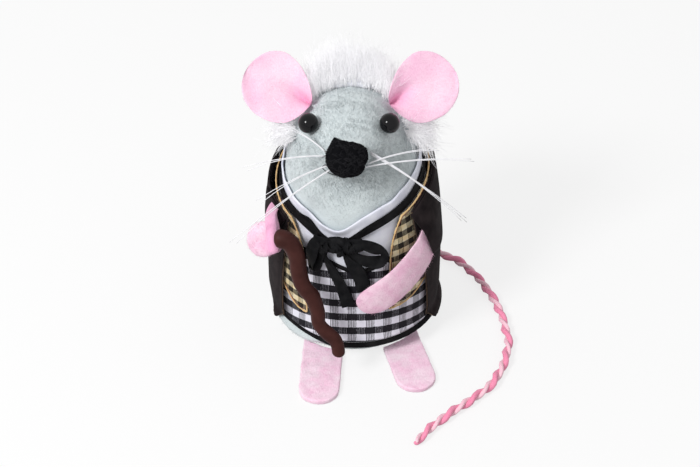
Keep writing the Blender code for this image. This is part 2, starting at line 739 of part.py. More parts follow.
def bow_point(reach, share, across, out):
    """Point on a ribbon that leaves the knot towards reach, bent round the body."""
    seat, sideways, upward, outward = bow_frame()
    along = (sideways * reach[0] + upward * reach[1])
    wide = outward.cross(along).normalized()
    start = along.normalized() * (KNOT_HALF_HEIGHT + CLEARANCE)
    flat = start + (along - start) * share + wide * across
    sag = flat.dot(sideways) ** 2 / (2 * WAIST_RADIUS)
    return seat + flat + outward * (out - sag)


def make_bow_loop(name, side):
    """Ribbon that runs out from the knot over the tails, turns over and comes back."""
    def place(u, v, face):
        angle = pi * u
        share = sin(angle) ** 0.6 if 0.0 < u < 1.0 else 0.0
        face_step = RIBBON_CLOTH * (face - 0.5)
        swell = mix(0.55, 1.0, share)
        opening = LOOP_RISE * mix(0.45, 1.0, share)
        middle = LAYER_GAP + 2 * RIBBON_STEP + RIBBON_CLOTH + LOOP_RISE / 2
        out = middle - cos(angle) * (opening / 2 + face_step)
        reach_share = share * (1.0 + face_step / RIBBON_WIDTH)
        return bow_point(LOOP_REACH[side], reach_share, RIBBON_WIDTH / 2 * swell * (2 * v - 1), out)

    sheet(name, 14, 2, place, "satin")


def make_bow_tail(name, side):
    half = RIBBON_WIDTH / 2
    low = LAYER_GAP if side == RIGHT else LAYER_GAP + RIBBON_STEP

    def place(u, v, face):
        return bow_point(BOW_TAIL_REACH[side], u, half * (2 * v - 1), low + RIBBON_CLOTH * face)

    sheet(name, 6, 2, place, "satin")


# Arms, stick, feet and tail

def arm_halves(count, side):
    """Half widths from the rounded root to the rounded hand."""
    halves = []
    for i in range(count):
        share = i / (count - 1)
        half = mix(ARM_ROOT_HALF, ARM_HAND_HALF[side], smoothstep(share * 1.3))
        from_end = min(share / 0.12, (1.0 - share) / 0.16, 1.0)
        halves.append(half * max(sqrt(1.0 - (1.0 - from_end) ** 2), 0.3))
    return halves


def make_arm_left():
    """Arm across the belly, over the edge of the coat."""
    root_lift = WAISTCOAT_LIFT + WAISTCOAT_CLOTH + LAYER_GAP + ARM_FELT / 2
    over = OVER_COAT + ARM_FELT / 2
    keys = []
    for number, (turn_back, rise, puff) in enumerate(ARM_LEFT_LINE):
        lift = root_lift if number < ARM_LEFT_UNDER_COAT else over
        keys.append(Vector((ARM_TURN - turn_back, arm_height() + rise, lift + ARM_PUFF * puff)))
    flat = smooth_path(keys, 16)
    centres = [wrap(*key) for key in flat]
    normals = [skin_normal(station_at(key[0], key[1]), key[0]) for key in flat]
    arm = paddle("arm_left", centres, normals, arm_halves(len(centres), LEFT), ARM_FELT, "pink_felt")
    cut(arm, make_stitch_cutter("stitch_cutter_left", LEFT))
    set_origin(arm, shoulder(LEFT)[0])


def arm_right_line():
    """Centres and facing of the arm that reaches forward and holds the stick."""
    foot, outward = shoulder(RIGHT)
    root = foot + outward * (WAISTCOAT_LIFT + WAISTCOAT_CLOTH + LAYER_GAP + ARM_FELT / 2)
    forward = Vector((cos(radians(ARM_TURN)), -sin(radians(ARM_TURN)), 0.0))
    upward = Vector((0.0, 0.0, 1.0))
    steps = zip(ARM_RIGHT_FORWARD, ARM_RIGHT_OUTWARD, ARM_RIGHT_UPWARD)
    keys = [root + forward * f + outward * o + upward * u for f, o, u in steps]
    centres = smooth_path(keys, 12)
    facing = outward * HAND_FACING[0] + upward * HAND_FACING[1]
    twist_rows = len(centres) - 1 - HAND_TWIST_START
    twists = [smoothstep((i - HAND_TWIST_START) / twist_rows) for i in range(len(centres))]
    return centres, [outward.lerp(facing, twist) for twist in twists]


def make_arm_right():
    centres, normals = arm_right_line()
    arm = paddle("arm_right", centres, normals, arm_halves(len(centres), RIGHT), ARM_FELT, "pink_felt")
    cut(arm, make_stitch_cutter("stitch_cutter_right", RIGHT))
    set_origin(arm, shoulder(RIGHT)[0])


def make_stitch_cutter(name, side):
    foot, outward = shoulder(side)
    builder = bmesh.new()
    low = WAISTCOAT_LIFT
    round_bar(builder, foot, outward, STITCH_RADIUS + CLEARANCE, low, low + 6 * ARM_FELT, 12)
    return finish_piece(name, builder, "thread")


def make_stitch(name, side):
    """Thread that holds the arm: a shank through the felt and a knot outside it."""
    foot, outward = shoulder(side)
    shank_low = WAISTCOAT_LIFT + WAISTCOAT_CLOTH + CLEARANCE
    head_low = shank_low + ARM_FELT + LAYER_GAP + CLEARANCE
    builder = bmesh.new()
    profile = ((0.0, shank_low), (STITCH_RADIUS, shank_low), (STITCH_RADIUS, head_low),
               (STITCH_HEAD_RADIUS, head_low), (STITCH_HEAD_RADIUS, head_low + STITCH_HEAD),
               (0.0, head_low + STITCH_HEAD))
    line = [builder.verts.new((radius, 0.0, lift)) for radius, lift in profile]
    edges = [builder.edges.new(pair) for pair in zip(line, line[1:])]
    bmesh.ops.spin(builder, geom=line + edges, axis=(0.0, 0.0, 1.0), cent=(0.0, 0.0, 0.0), angle=2 * pi,
                   steps=12, use_merge=True)
    bmesh.ops.remove_doubles(builder, verts=builder.verts, dist=0.00001)
    turn = Vector((0.0, 0.0, 1.0)).rotation_difference(outward).to_matrix().to_4x4()
    bmesh.ops.transform(builder, matrix=turn, verts=builder.verts)
    bmesh.ops.translate(builder, verts=builder.verts, vec=foot)
    finish_piece(name, builder, "thread")


def stick_place(share):
    """Place of the stick's middle line and its radius, measured from the top."""
    wave = STICK_WAVE * sin(2 * pi * STICK_WAVES * share + radians(STICK_PHASE))
    place = Vector((STICK_ACROSS * share + wave, -STICK_OUT * share, -STICK_DROP * share))
    return place, mix(STICK_TOP_RADIUS, STICK_TIP_RADIUS, share)


def make_stick():
    """Crooked stick gripped at the inner edge of the hand, slanting down across the belly."""
    centres, normals = arm_right_line()
    along = (centres[HAND_ROW + 1] - centres[HAND_ROW - 1]).normalized()
    inward = normals[HAND_ROW].cross(along).normalized()
    grip_place, grip_radius = stick_place(STICK_GRIP_SHARE)
    hand_half = arm_halves(len(centres), RIGHT)[HAND_ROW]
    grip = centres[HAND_ROW] + inward * (hand_half + CLEARANCE + grip_radius)
    path = []
    radii = []
    for share in steps_between(0.0, 1.0, STICK_ROWS):
        place, radius = stick_place(share)
        path.append(grip + place - grip_place)
        from_end = min(share, 1.0 - share, STICK_END_SHARE) / STICK_END_SHARE
        radii.append(radius * max(sqrt(1.0 - (1.0 - from_end) ** 2), STICK_END_FLAT))
    stick = tube("walking_stick", path, radii, 10, "clay")
    set_origin(stick, shoulder(RIGHT)[0])


def make_foot(name, side):
    """Felt tongue that is caught in the base seam and lies on the floor."""
    seam_radius = wrap(0.0, FOOT_FELT, 0.0).xy.length + CLEARANCE
    seat = radians(FOOT_SEAT_TURN[side])
    point = radians(FOOT_POINT_TURN[side])
    start = Vector((sin(seat), -cos(seat), 0.0)) * seam_radius
    ahead = Vector((sin(point), -cos(point), 0.0))
    across = Vector((cos(point), sin(point), 0.0))
    outline = []
    for offset in steps_between(-FOOT_HALF_WIDTH, FOOT_HALF_WIDTH, 6):
        beside = start + across * offset
        reach = beside.dot(ahead)
        outline.append(beside + ahead * (sqrt(reach ** 2 - beside.length_squared + seam_radius ** 2) - reach))
    tip_centre = start + ahead * (FOOT_LENGTH[side] - FOOT_HALF_WIDTH)
    for angle in steps_between(0.0, pi, 12):
        outline.append(tip_centre + (across * cos(angle) + ahead * sin(angle)) * FOOT_HALF_WIDTH)
    builder = bmesh.new()
    sole = builder.faces.new([builder.verts.new(spot) for spot in outline])
    top = bmesh.ops.extrude_face_region(builder, geom=[sole])
    raised = [item for item in top["geom"] if isinstance(item, bmesh.types.BMVert)]
    bmesh.ops.translate(builder, verts=raised, vec=(0.0, 0.0, FOOT_FELT))
    finish_piece(name, builder, "pink_felt")


def make_tail():
    """Cord that leaves the seat, comes down to the floor and lies round to the front."""
    exit_point = wrap(180.0, TAIL_EXIT_HEIGHT, CLEARANCE)
    points = smooth_path([exit_point] + [Vector(point) for point in TAIL_ROUTE], TAIL_STEPS)
    curve = bpy.data.curves.new("tail", "CURVE")
    curve.dimensions = "3D"
    curve.bevel_depth = TAIL_RADIUS
    curve.bevel_resolution = 2
    curve.use_fill_caps = True
    line = curve.splines.new("POLY")
    line.points.add(len(points) - 1)
    for spot, point in zip(line.points, points):
        spot.co = (*(point - exit_point), 1.0)
    tail = bpy.data.objects.new("tail", curve)
    tail.location = exit_point
    curve.materials.append(material("tail_yarn"))
    bpy.context.scene.collection.objects.link(tail)


def main():
    clear_scene()
    make_body()
    make_nose()
    make_hair()
    make_shirt_and_trousers()
    make_coat()
    make_knot()
    for word, side in (("left", LEFT), ("right", RIGHT)):
        make_eye(f"eye_{word}", side)
        make_whiskers(word, side)
        make_ear(f"ear_{word}", side)
        make_waistcoat(f"waistcoat_{word}", side)
        make_bow_loop(f"bow_loop_{word}", side)
        make_bow_tail(f"bow_tail_{word}", side)
        make_stitch(f"shoulder_stitch_{word}", side)
        make_foot(f"foot_{word}", side)
    make_arm_left()
    make_arm_right()
    make_stick()
    make_tail()


main()
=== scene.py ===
from math import cos, pi, radians, sin

import bmesh
import bpy
import numpy as np
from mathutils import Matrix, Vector


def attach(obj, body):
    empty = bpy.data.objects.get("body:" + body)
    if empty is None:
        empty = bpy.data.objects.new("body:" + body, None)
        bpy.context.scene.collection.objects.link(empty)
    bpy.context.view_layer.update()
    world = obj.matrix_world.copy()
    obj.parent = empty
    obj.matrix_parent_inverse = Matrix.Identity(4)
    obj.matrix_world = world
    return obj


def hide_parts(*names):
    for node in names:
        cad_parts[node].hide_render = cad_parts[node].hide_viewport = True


# Metres, +Z up. The mouse faces -Y, so its own left is +X. A turn is an angle about the body in degrees
# from the front, a lift is a distance out from the felt skin, and a station is a place along the body
# from sole to snout.

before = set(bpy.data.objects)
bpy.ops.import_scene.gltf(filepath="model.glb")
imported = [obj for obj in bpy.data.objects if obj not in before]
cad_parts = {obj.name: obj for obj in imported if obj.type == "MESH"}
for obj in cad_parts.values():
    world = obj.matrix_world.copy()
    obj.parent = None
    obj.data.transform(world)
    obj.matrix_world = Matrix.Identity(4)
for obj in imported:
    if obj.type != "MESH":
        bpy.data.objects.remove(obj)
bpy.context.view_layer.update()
LEFT = 1
RIGHT = -1
SIDES = (("left", LEFT), ("right", RIGHT))
UP = np.array((0.0, 0.0, 1.0))
WAVE_COUNT = 5

# Camera, light and floor
CAMERA_TARGET = Vector((-0.0016, 0.0, 0.0343))
CAMERA_DISTANCE = 0.520
CAMERA_ELEVATION = 38.0
CAMERA_LENS = 74.6
CAMERA_NEAR = 0.01
KEY_POWER = 9.5
KEY_SIZE = 0.28
KEY_PLACE = (-0.62, -0.62, 0.78)
WORLD_LIGHT = 0.60
BACKGROUND_RAYS = ("Is Camera Ray", "Is Glossy Ray", "Is Transmission Ray")
FLOOR_HALF = 4.0
FLOOR_BOUNCE = (0.52, 0.52, 0.52)
FLOOR_SEEN = (0.20, 0.20, 0.20)
FLOOR_LIFT = 0.765

# Stuffed body: back reach, back height, front reach, front height, half width of each station
STATIONS = np.array((
    (0.0235, 0.0, 0.0235, 0.0, 0.0235),
    (0.0300, 0.0055, 0.0300, 0.0055, 0.0300),
    (0.0278, 0.0120, 0.0278, 0.0120, 0.0278),
    (0.0272, 0.0360, 0.0272, 0.0360, 0.0272),
    (0.0222, 0.0755, 0.0268, 0.0598, 0.0232),
    (0.0105, 0.0905, 0.0258, 0.0722, 0.0192),
    (-0.0090, 0.0955, 0.0273, 0.0795, 0.0128),
    (-0.0262, 0.0918, 0.0304, 0.0828, 0.0058),
))
WAIST_STATION = 3
NECK_STATION = 4
LAST_STATION = len(STATIONS) - 1
SNOUT_TIP = np.array((0.0, -0.0330, 0.0888))
HEAD_LEAN = -0.0022
BASE_TUCK = 0.0017
HEAD_START = 4.3
CHIN_START = 5.6
SNOUT_END = 7.97
SEAM_RIDGE = 0.00022
SEAM_GROOVE = 0.00018
CHIN_GROOVE = 0.00055
NOSE_SINK = 0.0004
GAP = 0.0003
FILL_DEPTH = 0.0022
FILL_LUMPS = ((0.00022, 0.012, 3), (0.00008, 0.004, 4))
BASE_RADIUS = 0.0220
BASE_FELT = 0.0011
BASE_STITCH_REACH = (0.0212, 0.0246)
BASE_STITCH_RADIUS = 0.00020

# Loose fibres of felt and yarn: count, length and seed
FIBRES = {
    "body": (15000, 0.0009, 5),
    "nose": (1500, 0.0007, 15),
    "left_ear": (3200, 0.0007, 47),
    "right_ear": (3200, 0.0007, 45),
    "left_arm": (5000, 0.0009, 104),
    "right_arm": (1400, 0.0009, 102),
    "left_foot": (2600, 0.0006, 110),
    "right_foot": (2600, 0.0006, 108),
}
FIBRE_RADIUS = 0.000024
FIBRE_TAPER = (1.0, 0.8, 0.35)
FIBRE_ROOT = 0.00005
FIBRE_LOWEST = 0.00003
BARE_HEIGHTS = (0.010, 0.058)

# Nap brushed back over the head: first station, count and seed
NAP = {"light": (4.25, 8000, 21), "dark": (5.0, 3600, 22)}
NAP_END = 6.85
NAP_REACH = (0.0008, 0.0026)
NAP_RADII = (0.00002, 0.00005)
NAP_TAPER = (0.5, 1.0, 1.0, 0.8, 0.3)

# Eyes and nose
EYE_RADIUS = 0.0034
EYE_STATION = 6.05
EYE_TURN = 112.0
EYE_SHANK = ((0.0004, -0.0006), (0.0010, -0.0006), (0.0011, -0.0001))
NOSE_STATION = 6.95
NOSE_EDGE_TURNS = (-180.0, -142.0, -122.0, -88.0, -60.0, -38.0, -22.0, -4.0, 38.0, 72.0, 96.0, 122.0,
                   152.0, 180.0)
NOSE_EDGE = (7.08, 6.70, 6.80, 6.74, 6.64, 6.52, 6.70, 7.08, 7.06, 7.30, 7.10, 6.92, 7.08, 7.08)
NOSE_PILE = 0.0013
NOSE_STITCHES = 420
NOSE_YARN_RADIUS = 0.00015

# Loose thread on the nose: turn, reach and lift
NOSE_LOOP = ((-64.0, 0.86, 0.0010), (-58.0, 1.0, 0.0015), (-46.0, 1.1, 0.0017), (-34.0, 1.1, 0.0017),
             (-24.0, 1.0, 0.0015), (-18.0, 0.86, 0.0010))

# Whiskers, in pairs of strands
WHISKER_STATION = 6.72
WHISKER_SAG = 0.0015
WHISKER_RADIUS = 0.00017
WHISKER_SPREAD = {LEFT: 0.0005, RIGHT: 0.0009}
WHISKER_LENGTHS = {LEFT: (0.0403, 0.0380, 0.0357, 0.0238), RIGHT: (0.0453, 0.0267, 0.0273, 0.0177)}
WHISKER_ROOT_TURNS = {LEFT: (87.0, 93.0, 44.0, 56.0), RIGHT: (42.0, 54.0, 82.0, 94.0)}
WHISKER_RISES = {LEFT: (-36.3, -35.6, 2.3, 8.0), RIGHT: (-41.1, -26.5, -11.0, 24.2)}
WHISKER_LEANS = {LEFT: (7.5, 12.7, -3.3, -8.9), RIGHT: (3.2, 10.3, 0.2, -19.0)}

# Ears
EAR_RADIUS = 0.0121
EAR_STALK = 0.0122
EAR_BASE_HALF = 0.0024
EAR_FELT = 0.0013
EAR_CUP = 0.0022
EAR_FOLD = 0.0030
EAR_FOLD_PLACE = 0.15
EAR_TILT = 38.0
EAR_SPREAD = 27.0
EAR_STATION = 5.45
EAR_TURN = 129.0

# Dimples drawn in by the threads of the eyes and ears: station, turn, depth and spread
DIMPLES = ((EYE_STATION, EYE_TURN, 0.0007, 0.0034), (EAR_STATION, EAR_TURN, 0.0006, 0.0030))

# Hair: a pad of fleece, then tufts of strands over it, at the sides and on the crown
HAIR_EDGE = 0.0016
HAIR_DEPTH = 0.0066
HAIR_CROWN = 0.0050
HAIR_TURN = 100.0
HAIR_SIDE_STATION = {LEFT: 5.0, RIGHT: 4.75}
HAIR_TOP_STATION = 5.35
HAIR_PARTING = 26.0
HAIR_COLUMNS = 70
HAIR_ROWS = 34
HAIR_TUFTS = 900
HAIR_STRANDS = 9
HAIR_REACH = (0.0032, 0.0062)
HAIR_RADIUS = 0.00006
HAIR_TAPER = (1.0, 1.0, 0.9, 0.8, 0.6, 0.3)
SIDE_FALL = (0.0, 0.25, -0.75)
TOP_FALL = (0.0, 0.15, 0.9)
LOCK_TUFTS = {LEFT: 230, RIGHT: 270}
LOCK_TURNS = {LEFT: (86.0, 122.0), RIGHT: (86.0, 146.0)}
LOCK_STATIONS = (4.72, 5.30)
LOCK_REACH = {LEFT: 0.0088, RIGHT: 0.0070}
LOCK_FALL = (0.0, 0.15, -0.55)
CROWN_TUFTS = 330
CROWN_TURNS = (136.0, 224.0)
CROWN_STATIONS = (5.10, 5.42)
CROWN_REACH = 0.0075
CROWN_FALL = (0.0, 0.35, 0.75)

# Neck line of the clothes, lifted and rolled off the neck seam, with a dip in front
NECK_LIFT = 0.0034
NECK_ROLL = 0.0040
COLLAR_DIP = 0.0052
COLLAR_DIP_TURN = -14.0
COLLAR_DIP_SPREAD = 20.0
COLLAR_RIM = 0.0024

# Cloths, as lifts of their inner faces and thicknesses
SHIRT = (0.0003, 0.0005)
TROUSERS = (0.00115, 0.0005)
RIBBON = (0.00115, 0.0004)
WAISTCOAT = (0.0020, 0.0005)
COAT = (0.00285, 0.0006)

# Radii at which the cloths' own coordinates are measured
SHIRT_ROUND = 0.0285
WAISTCOAT_ROUND = 0.029
COAT_ROUND = 0.031

# Shirt, trousers and ribbon
BAND_COLUMNS = 240
SHIRT_BOTTOM = 0.0380
TROUSER_TOP = 0.0440
WAIST_SAG = 0.0050
TROUSER_BOTTOM = 0.0085
HEM_PULL = 0.0019
BINDING_WIDTH = 0.0014
BINDING_THICK = 0.0005
RIBBON_WIDTH = 0.0048
RIBBON_EDGES = (0.0037, 0.0070)

# Weaves
THREAD_PITCH = 0.00042
HATCH_PITCH = 0.00056
GINGHAM_PERIOD = 0.0062
GINGHAM_COLUMNS = 29
GINGHAM_SHIFT = (-0.00064, 0.00325)
GINGHAM_DROOP = 0.0029
CHECK_PERIOD = 0.0046
CHECK_SHIFT = (0.0, 0.0012)

# Waistcoat
WAISTCOAT_SIDE_TURN = 82.0
WAISTCOAT_SIDE_BOTTOM = 0.0310
WAISTCOAT_NECK_TURN = {LEFT: 38.0, RIGHT: 52.0}
WAISTCOAT_FRONT_TURN = {LEFT: 23.5, RIGHT: 33.5}
WAISTCOAT_POINT_HEIGHT = {LEFT: 0.0225, RIGHT: 0.0188}
WAISTCOAT_SWEEP_TURN = 68.0
GOLD_BACK_TURN = 118.0

# Middle of a waistcoat front, towards which its trims are set in, as turn and height
TRIM_MIDDLE = (56.0, 0.042)
TRIM_STEPS = 220

# Coat and its shoulder flaps
COAT_HEM = 0.0064
COAT_CORNER_RISE = 0.0050
COAT_CORNER_TURN = 10.0
COAT_SCALLOP = 0.0048
SCALLOP_TURN = 31.0
SCALLOP_SPREAD = 12.0
COAT_PUFF = {LEFT: 0.0005, RIGHT: 0.0020}
COAT_PUFF_HEIGHTS = (0.0260, 0.0480)
COAT_PUFF_TURNS = (62.0, 92.0)
COAT_PUFF_END = (112.0, 165.0)
COAT_STRAIGHT = 0.0012
COAT_STRAIGHT_BELOW = 0.0165
COAT_NECK_DROP = 0.0009
COAT_CHEST_TURN = {LEFT: 45.0, RIGHT: 51.0}
COAT_HEM_TURN = {LEFT: 55.0, RIGHT: 54.0}
COAT_EDGE_RADIUS = 0.00026
COAT_EDGE_STEPS = 420
CAP_TURNS = {LEFT: (43.5, 52.5, 100.0), RIGHT: (54.0, 58.0, 84.0)}
CAP_LOW = {LEFT: 0.0415, RIGHT: 0.0455}
CAP_STAND = {LEFT: 0.0036, RIGHT: 0.0016}
CAP_STAND_SHARE = 0.72
CAP_CLEAR = 0.0002
CAP_DROP = 0.0004
CAP_END_LENGTH = 0.004
ARMHOLE_RADIUS = {LEFT: 0.0046, RIGHT: 0.0027}
ARMHOLE_LENGTH = 0.03
ARMHOLE_OUT = 0.012

# Arms, from the shoulder stitch; the right arm's front edge as turn, height and lift
ARM_TURN = 65.0
ARM_HEIGHT = 0.050499
ARM_FELT = 0.0016
ARM_LEFT_BACK = (-5.0, 0.0, 13.0, 27.0, 45.0, 62.5)
ARM_LEFT_RISES = (0.0018, -0.0006, -0.0056, -0.0112, -0.0184, -0.0244)
ARM_LEFT_LIFTS = (0.00365, 0.00365, 0.0052, 0.0052, 0.0048, 0.0040)
ARM_LEFT_SHARES = (0.0, 0.2, 0.32, 0.5, 0.8, 1.0)
ARM_LEFT_HALVES = (0.0034, 0.0044, 0.0064, 0.0071, 0.0066, 0.0060)
ARM_RIGHT_EDGE = ((-77.0, 0.0540, 0.0004), (-72.0, 0.0535, 0.0040), (-66.0, 0.0522, 0.0064),
                  (-60.3, 0.0495, 0.0072), (-55.4, 0.0465, 0.0082), (-50.6, 0.0430, 0.0092))
ARM_RIGHT_HALF = 0.0019
ARM_RIGHT_DEPTH = 0.0095
ARM_RIGHT_FACING = (-0.15, -0.80, 0.60)
ARM_REACH = 0.0112
HAND_PLACE = (-0.0314, -0.0166, 0.0448)
HAND_HALF = (0.0060, 0.0062, 0.0021)
HAND_FACING = (-0.30, -0.80, 0.50)
STITCH_LIFT = {LEFT: 0.0052, RIGHT: 0.0035}
STITCH_ANGLES = (0.4, 1.3, 2.2, 2.9)
STITCH_LENGTH = 0.0024
STITCH_START = 0.0030
STITCH_RADIUS = 0.00032

# Felt padded to a soft shape: size of its lumps, and voxel, rounds of smoothing and height of the lumps
FELT_LUMP = 0.0045
WELD_DISTANCE = 0.00001
HAND_SOFT = (0.00032, 9, 0.00012)
FOOT_SOFT = (0.00036, 6, 0.00010)

# Bow, measured from the middle of its knot
BOW_TURN = -11.0
BOW_GAP = 0.00035
BOW_BACK_RADIUS = 0.0272
KNOT_HALF = (0.0050, 0.0034, 0.0034)
GATHERS = 13
GATHER_SPAN = (-6.8, 7.2)
GATHER_HALF_WIDTH = 0.0015

# Middle lines of the bow's ribbons in millimetres: sideways, up and out from the knot
MILLIMETRE = 0.001
BOW_LOOPS = {
    LEFT: ((3.0, 1.4, 1.8), (6.2, 2.3, 3.2), (9.6, 1.8, 3.8), (13.0, -0.6, 3.6), (15.3, -3.7, 3.2),
           (14.4, -6.7, 2.4), (10.9, -6.8, 1.9), (7.0, -5.2, 1.7), (3.0, -2.6, 1.6)),
    RIGHT: ((-2.4, 0.6, 1.8), (-4.6, 1.9, 3.2), (-6.9, 1.7, 3.8), (-8.5, -1.6, 3.6), (-9.4, -6.1, 3.2),
            (-9.8, -10.2, 2.6), (-9.0, -12.6, 2.2), (-7.7, -9.8, 1.8), (-6.7, -5.6, 1.7), (-4.4, -2.0, 1.6)),
}
BOW_TAILS = {
    LEFT: ((1.0, 0.0, 1.9), (1.9, -1.6, 1.9), (3.4, -5.3, 1.9), (6.0, -9.8, 1.6), (7.6, -14.0, 1.3),
           (9.0, -19.2, 1.5)),
    RIGHT: ((-3.9, -1.8, 1.4), (-4.8, -5.4, 1.4), (-3.6, -8.2, 1.3), (-0.9, -13.9, 1.0), (1.5, -19.8, 0.8),
            (3.6, -26.4, 1.2)),
}

# Middle line of the stick from the hand to its tip
STICK_ROUTE = (
    (-0.0268, -0.0293, 0.0555), (-0.0240, -0.0301, 0.0556), (-0.0213, -0.0308, 0.0539),
    (-0.0192, -0.0321, 0.0488), (-0.0189, -0.0330, 0.0444), (-0.0181, -0.0340, 0.0403),
    (-0.0165, -0.0347, 0.0372), (-0.0143, -0.0353, 0.0342), (-0.0127, -0.0365, 0.0293),
    (-0.0122, -0.0377, 0.0249), (-0.0107, -0.0383, 0.0227), (-0.0088, -0.0388, 0.0208),
    (-0.0067, -0.0394, 0.0186), (-0.0056, -0.0403, 0.0153), (-0.0056, -0.0410, 0.0124),
)
STICK_RADII = (0.0031, 0.0022)
STICK_SIDES = 28

# Route of the tail over the floor, as in the CAD source
TAIL_EXIT = (0.0, 0.030131, 0.005059)
TAIL_ROUTE = (
    TAIL_EXIT,
    (0.0006, 0.0375, 0.0040), (0.0050, 0.0432, 0.0022), (0.0130, 0.0436, 0.0020),
    (0.0225, 0.0382, 0.0020), (0.0330, 0.0292, 0.0020), (0.0406, 0.0235, 0.0020),
    (0.0476, 0.0127, 0.0020), (0.0529, -0.0018, 0.0020), (0.0551, -0.0157, 0.0020),
    (0.0552, -0.0237, 0.0020), (0.0525, -0.0342, 0.0020), (0.0472, -0.0443, 0.0020),
    (0.0398, -0.0517, 0.0020), (0.0325, -0.0580, 0.0020), (0.0254, -0.0651, 0.0020),
    (0.0202, -0.0720, 0.0020),
)
TAIL_PITCH = 0.0118
TAIL_FIBRE_PITCH = 0.0042
TAIL_STEPS = 620
TAIL_SIDES = 14
TAIL_PLY_RADII = (0.00080, 0.00102)
TAIL_PLY_OFFSET = 0.00072


# Numbers and curves

def smoothstep(value):
    """Soft step from 0 to 1."""
    clamped = np.clip(value, 0.0, 1.0)
    return clamped * clamped * (3.0 - 2.0 * clamped)


def mix(a, b, share):
    """Value between two values."""
    return a + (b - a) * share


def shares(count):
    """Even shares from 0 to 1."""
    return np.linspace(0.0, 1.0, count)


def bump(distance, width):
    """Bell that is 1 at no distance."""
    return np.exp(-(distance / width) ** 2)


def unit(vectors):
    """The same directions with a length of 1."""
    return vectors / np.maximum(np.linalg.norm(vectors, axis=-1, keepdims=True), 1e-12)


def catmull(p0, p1, p2, p3, t):
    """Smooth curve from the second to the third of four points."""
    return 0.5 * (2 * p1 + (p2 - p0) * t + (2 * p0 - 5 * p1 + 4 * p2 - p3) * t * t
                  + (3 * p1 - p0 - 3 * p2 + p3) * t ** 3)


def smooth_path(points, steps):
    """Points on one smooth curve through the given points."""
    points = np.asarray(points, float)
    last = len(points) - 1
    place = np.linspace(0.0, last, steps + 1)
    low = np.minimum(place.astype(int), last - 1)
    nearby = [points[np.clip(low + k, 0, last)] for k in (-1, 0, 1, 2)]
    return catmull(*nearby, (place - low)[:, None])


def even_path(points, steps):
    """The same curve with points at even distances."""
    fine = smooth_path(points, steps * 8)
    run = np.concatenate([[0.0], np.cumsum(np.linalg.norm(np.diff(fine, axis=0), axis=1))])
    wanted = np.linspace(0.0, run[-1], steps + 1)
    return np.stack([np.interp(wanted, run, fine[:, k]) for k in range(3)], -1)


def path_length(points):
    """Length of the line through the points."""
    return float(np.linalg.norm(np.diff(points, axis=0), axis=1).sum())


def waves(x, y, seed):
    """Smooth unevenness from -1 to 1 over two coordinates that run in steps of about one wave."""
    rng = np.random.default_rng(seed)
    total = np.zeros(np.broadcast(x, y).shape)
    for _ in range(WAVE_COUNT):
        angle, phase = rng.uniform(0.0, 2 * pi, 2)
        rate = rng.uniform(0.6, 1.6) * 2 * pi
        total += np.sin(rate * (x * cos(angle) + y * sin(angle)) + phase)
    return total / WAVE_COUNT


def lumps(points, size, seed):
    """Smooth unevenness from -1 to 1 over points in space."""
    rng = np.random.default_rng(seed)
    total = np.zeros(points.shape[:-1])
    for _ in range(7):
        way = unit(rng.normal(size=3))
        rate = 2 * pi * rng.uniform(0.7, 1.5) / size
        total += np.sin(points @ way * rate + rng.uniform(0.0, 2 * pi))
    return total / 4.0


def circle(step):
    """Angles all round, at steps given in degrees."""
    return np.radians(np.arange(0.0, 360.0, step))


def around(angle, first, second):
    """Directions at the given angles from the first direction towards the second."""
    return first * np.cos(angle)[..., None] + second * np.sin(angle)[..., None]


def level_axes(outward):
    """Level direction beside the outward one, and the direction square to both."""
    aside = unit(np.cross(outward, UP))
    return aside, np.cross(aside, outward)


# The body's surface

def ring(station):
    """Middle and half height of the ring, and its half width."""
    low = np.clip(station.astype(int), 0, LAST_STATION - 1)
    place = (np.minimum(station, LAST_STATION) - low)[..., None]
    nearby = [STATIONS[np.clip(low + k, 0, LAST_STATION)] for k in (-1, 0, 1, 2)]
    back_y, back_z, front_y, front_z, half_width = np.moveaxis(catmull(*nearby, place), -1, 0)
    zero = np.zeros_like(back_y)
    over = np.clip(station - LAST_STATION, 0.0, 1.0) * pi / 2
    middle = np.stack([zero, (back_y - front_y) / 2, (back_z + front_z) / 2], -1)
    half = np.stack([zero, (back_y + front_y) / 2, (back_z - front_z) / 2], -1)
    middle = middle + (SNOUT_TIP - middle) * np.sin(over)[..., None]
    middle[..., 0] = HEAD_LEAN * smoothstep((station - WAIST_STATION) / (LAST_STATION - WAIST_STATION))
    return middle, half * np.cos(over)[..., None], half_width * np.cos(over)


def skin_point(station, turn):
    """Point on the felt skin."""
    station, turn = np.broadcast_arrays(np.asarray(station, float), np.asarray(turn, float))
    middle, half, half_width = ring(station)
    angle = np.radians(turn)
    point = middle - half * np.cos(angle)[..., None]
    point[..., 0] += half_width * np.sin(angle)
    return point


def skin_normal(station, turn):
    """Direction out of the felt skin."""
    low = np.maximum(np.asarray(station, float) - 0.02, 0.0)
    high = np.minimum(np.asarray(station, float) + 0.02, LAST_STATION + 0.98)
    along = skin_point(high, turn) - skin_point(low, turn)
    turn = np.asarray(turn, float)
    round_it = skin_point((low + high) / 2, turn + 1.0) - skin_point((low + high) / 2, turn - 1.0)
    return unit(np.cross(round_it, along))


def skin(station, turn, lift):
    """Point at a lift off the felt skin."""
    return skin_point(station, turn) + skin_normal(station, turn) * np.asarray(lift)[..., None]


def station_at(turn, height):
    """Station at which the skin reaches a height, found by halving."""
    turn, height = np.broadcast_arrays(np.asarray(turn, float), np.asarray(height, float))
    low = np.zeros(turn.shape)
    high = np.full(turn.shape, NECK_STATION + 1.0)
    for _ in range(30):
        middle = (low + high) / 2
        below = skin_point(middle, turn)[..., 2] < height
        low = np.where(below, middle, low)
        high = np.where(below, high, middle)
    return (low + high) / 2


def wrap(turn, height, lift):
    """Point at a lift off the skin, by its height."""
    return skin(station_at(turn, height), turn, lift)


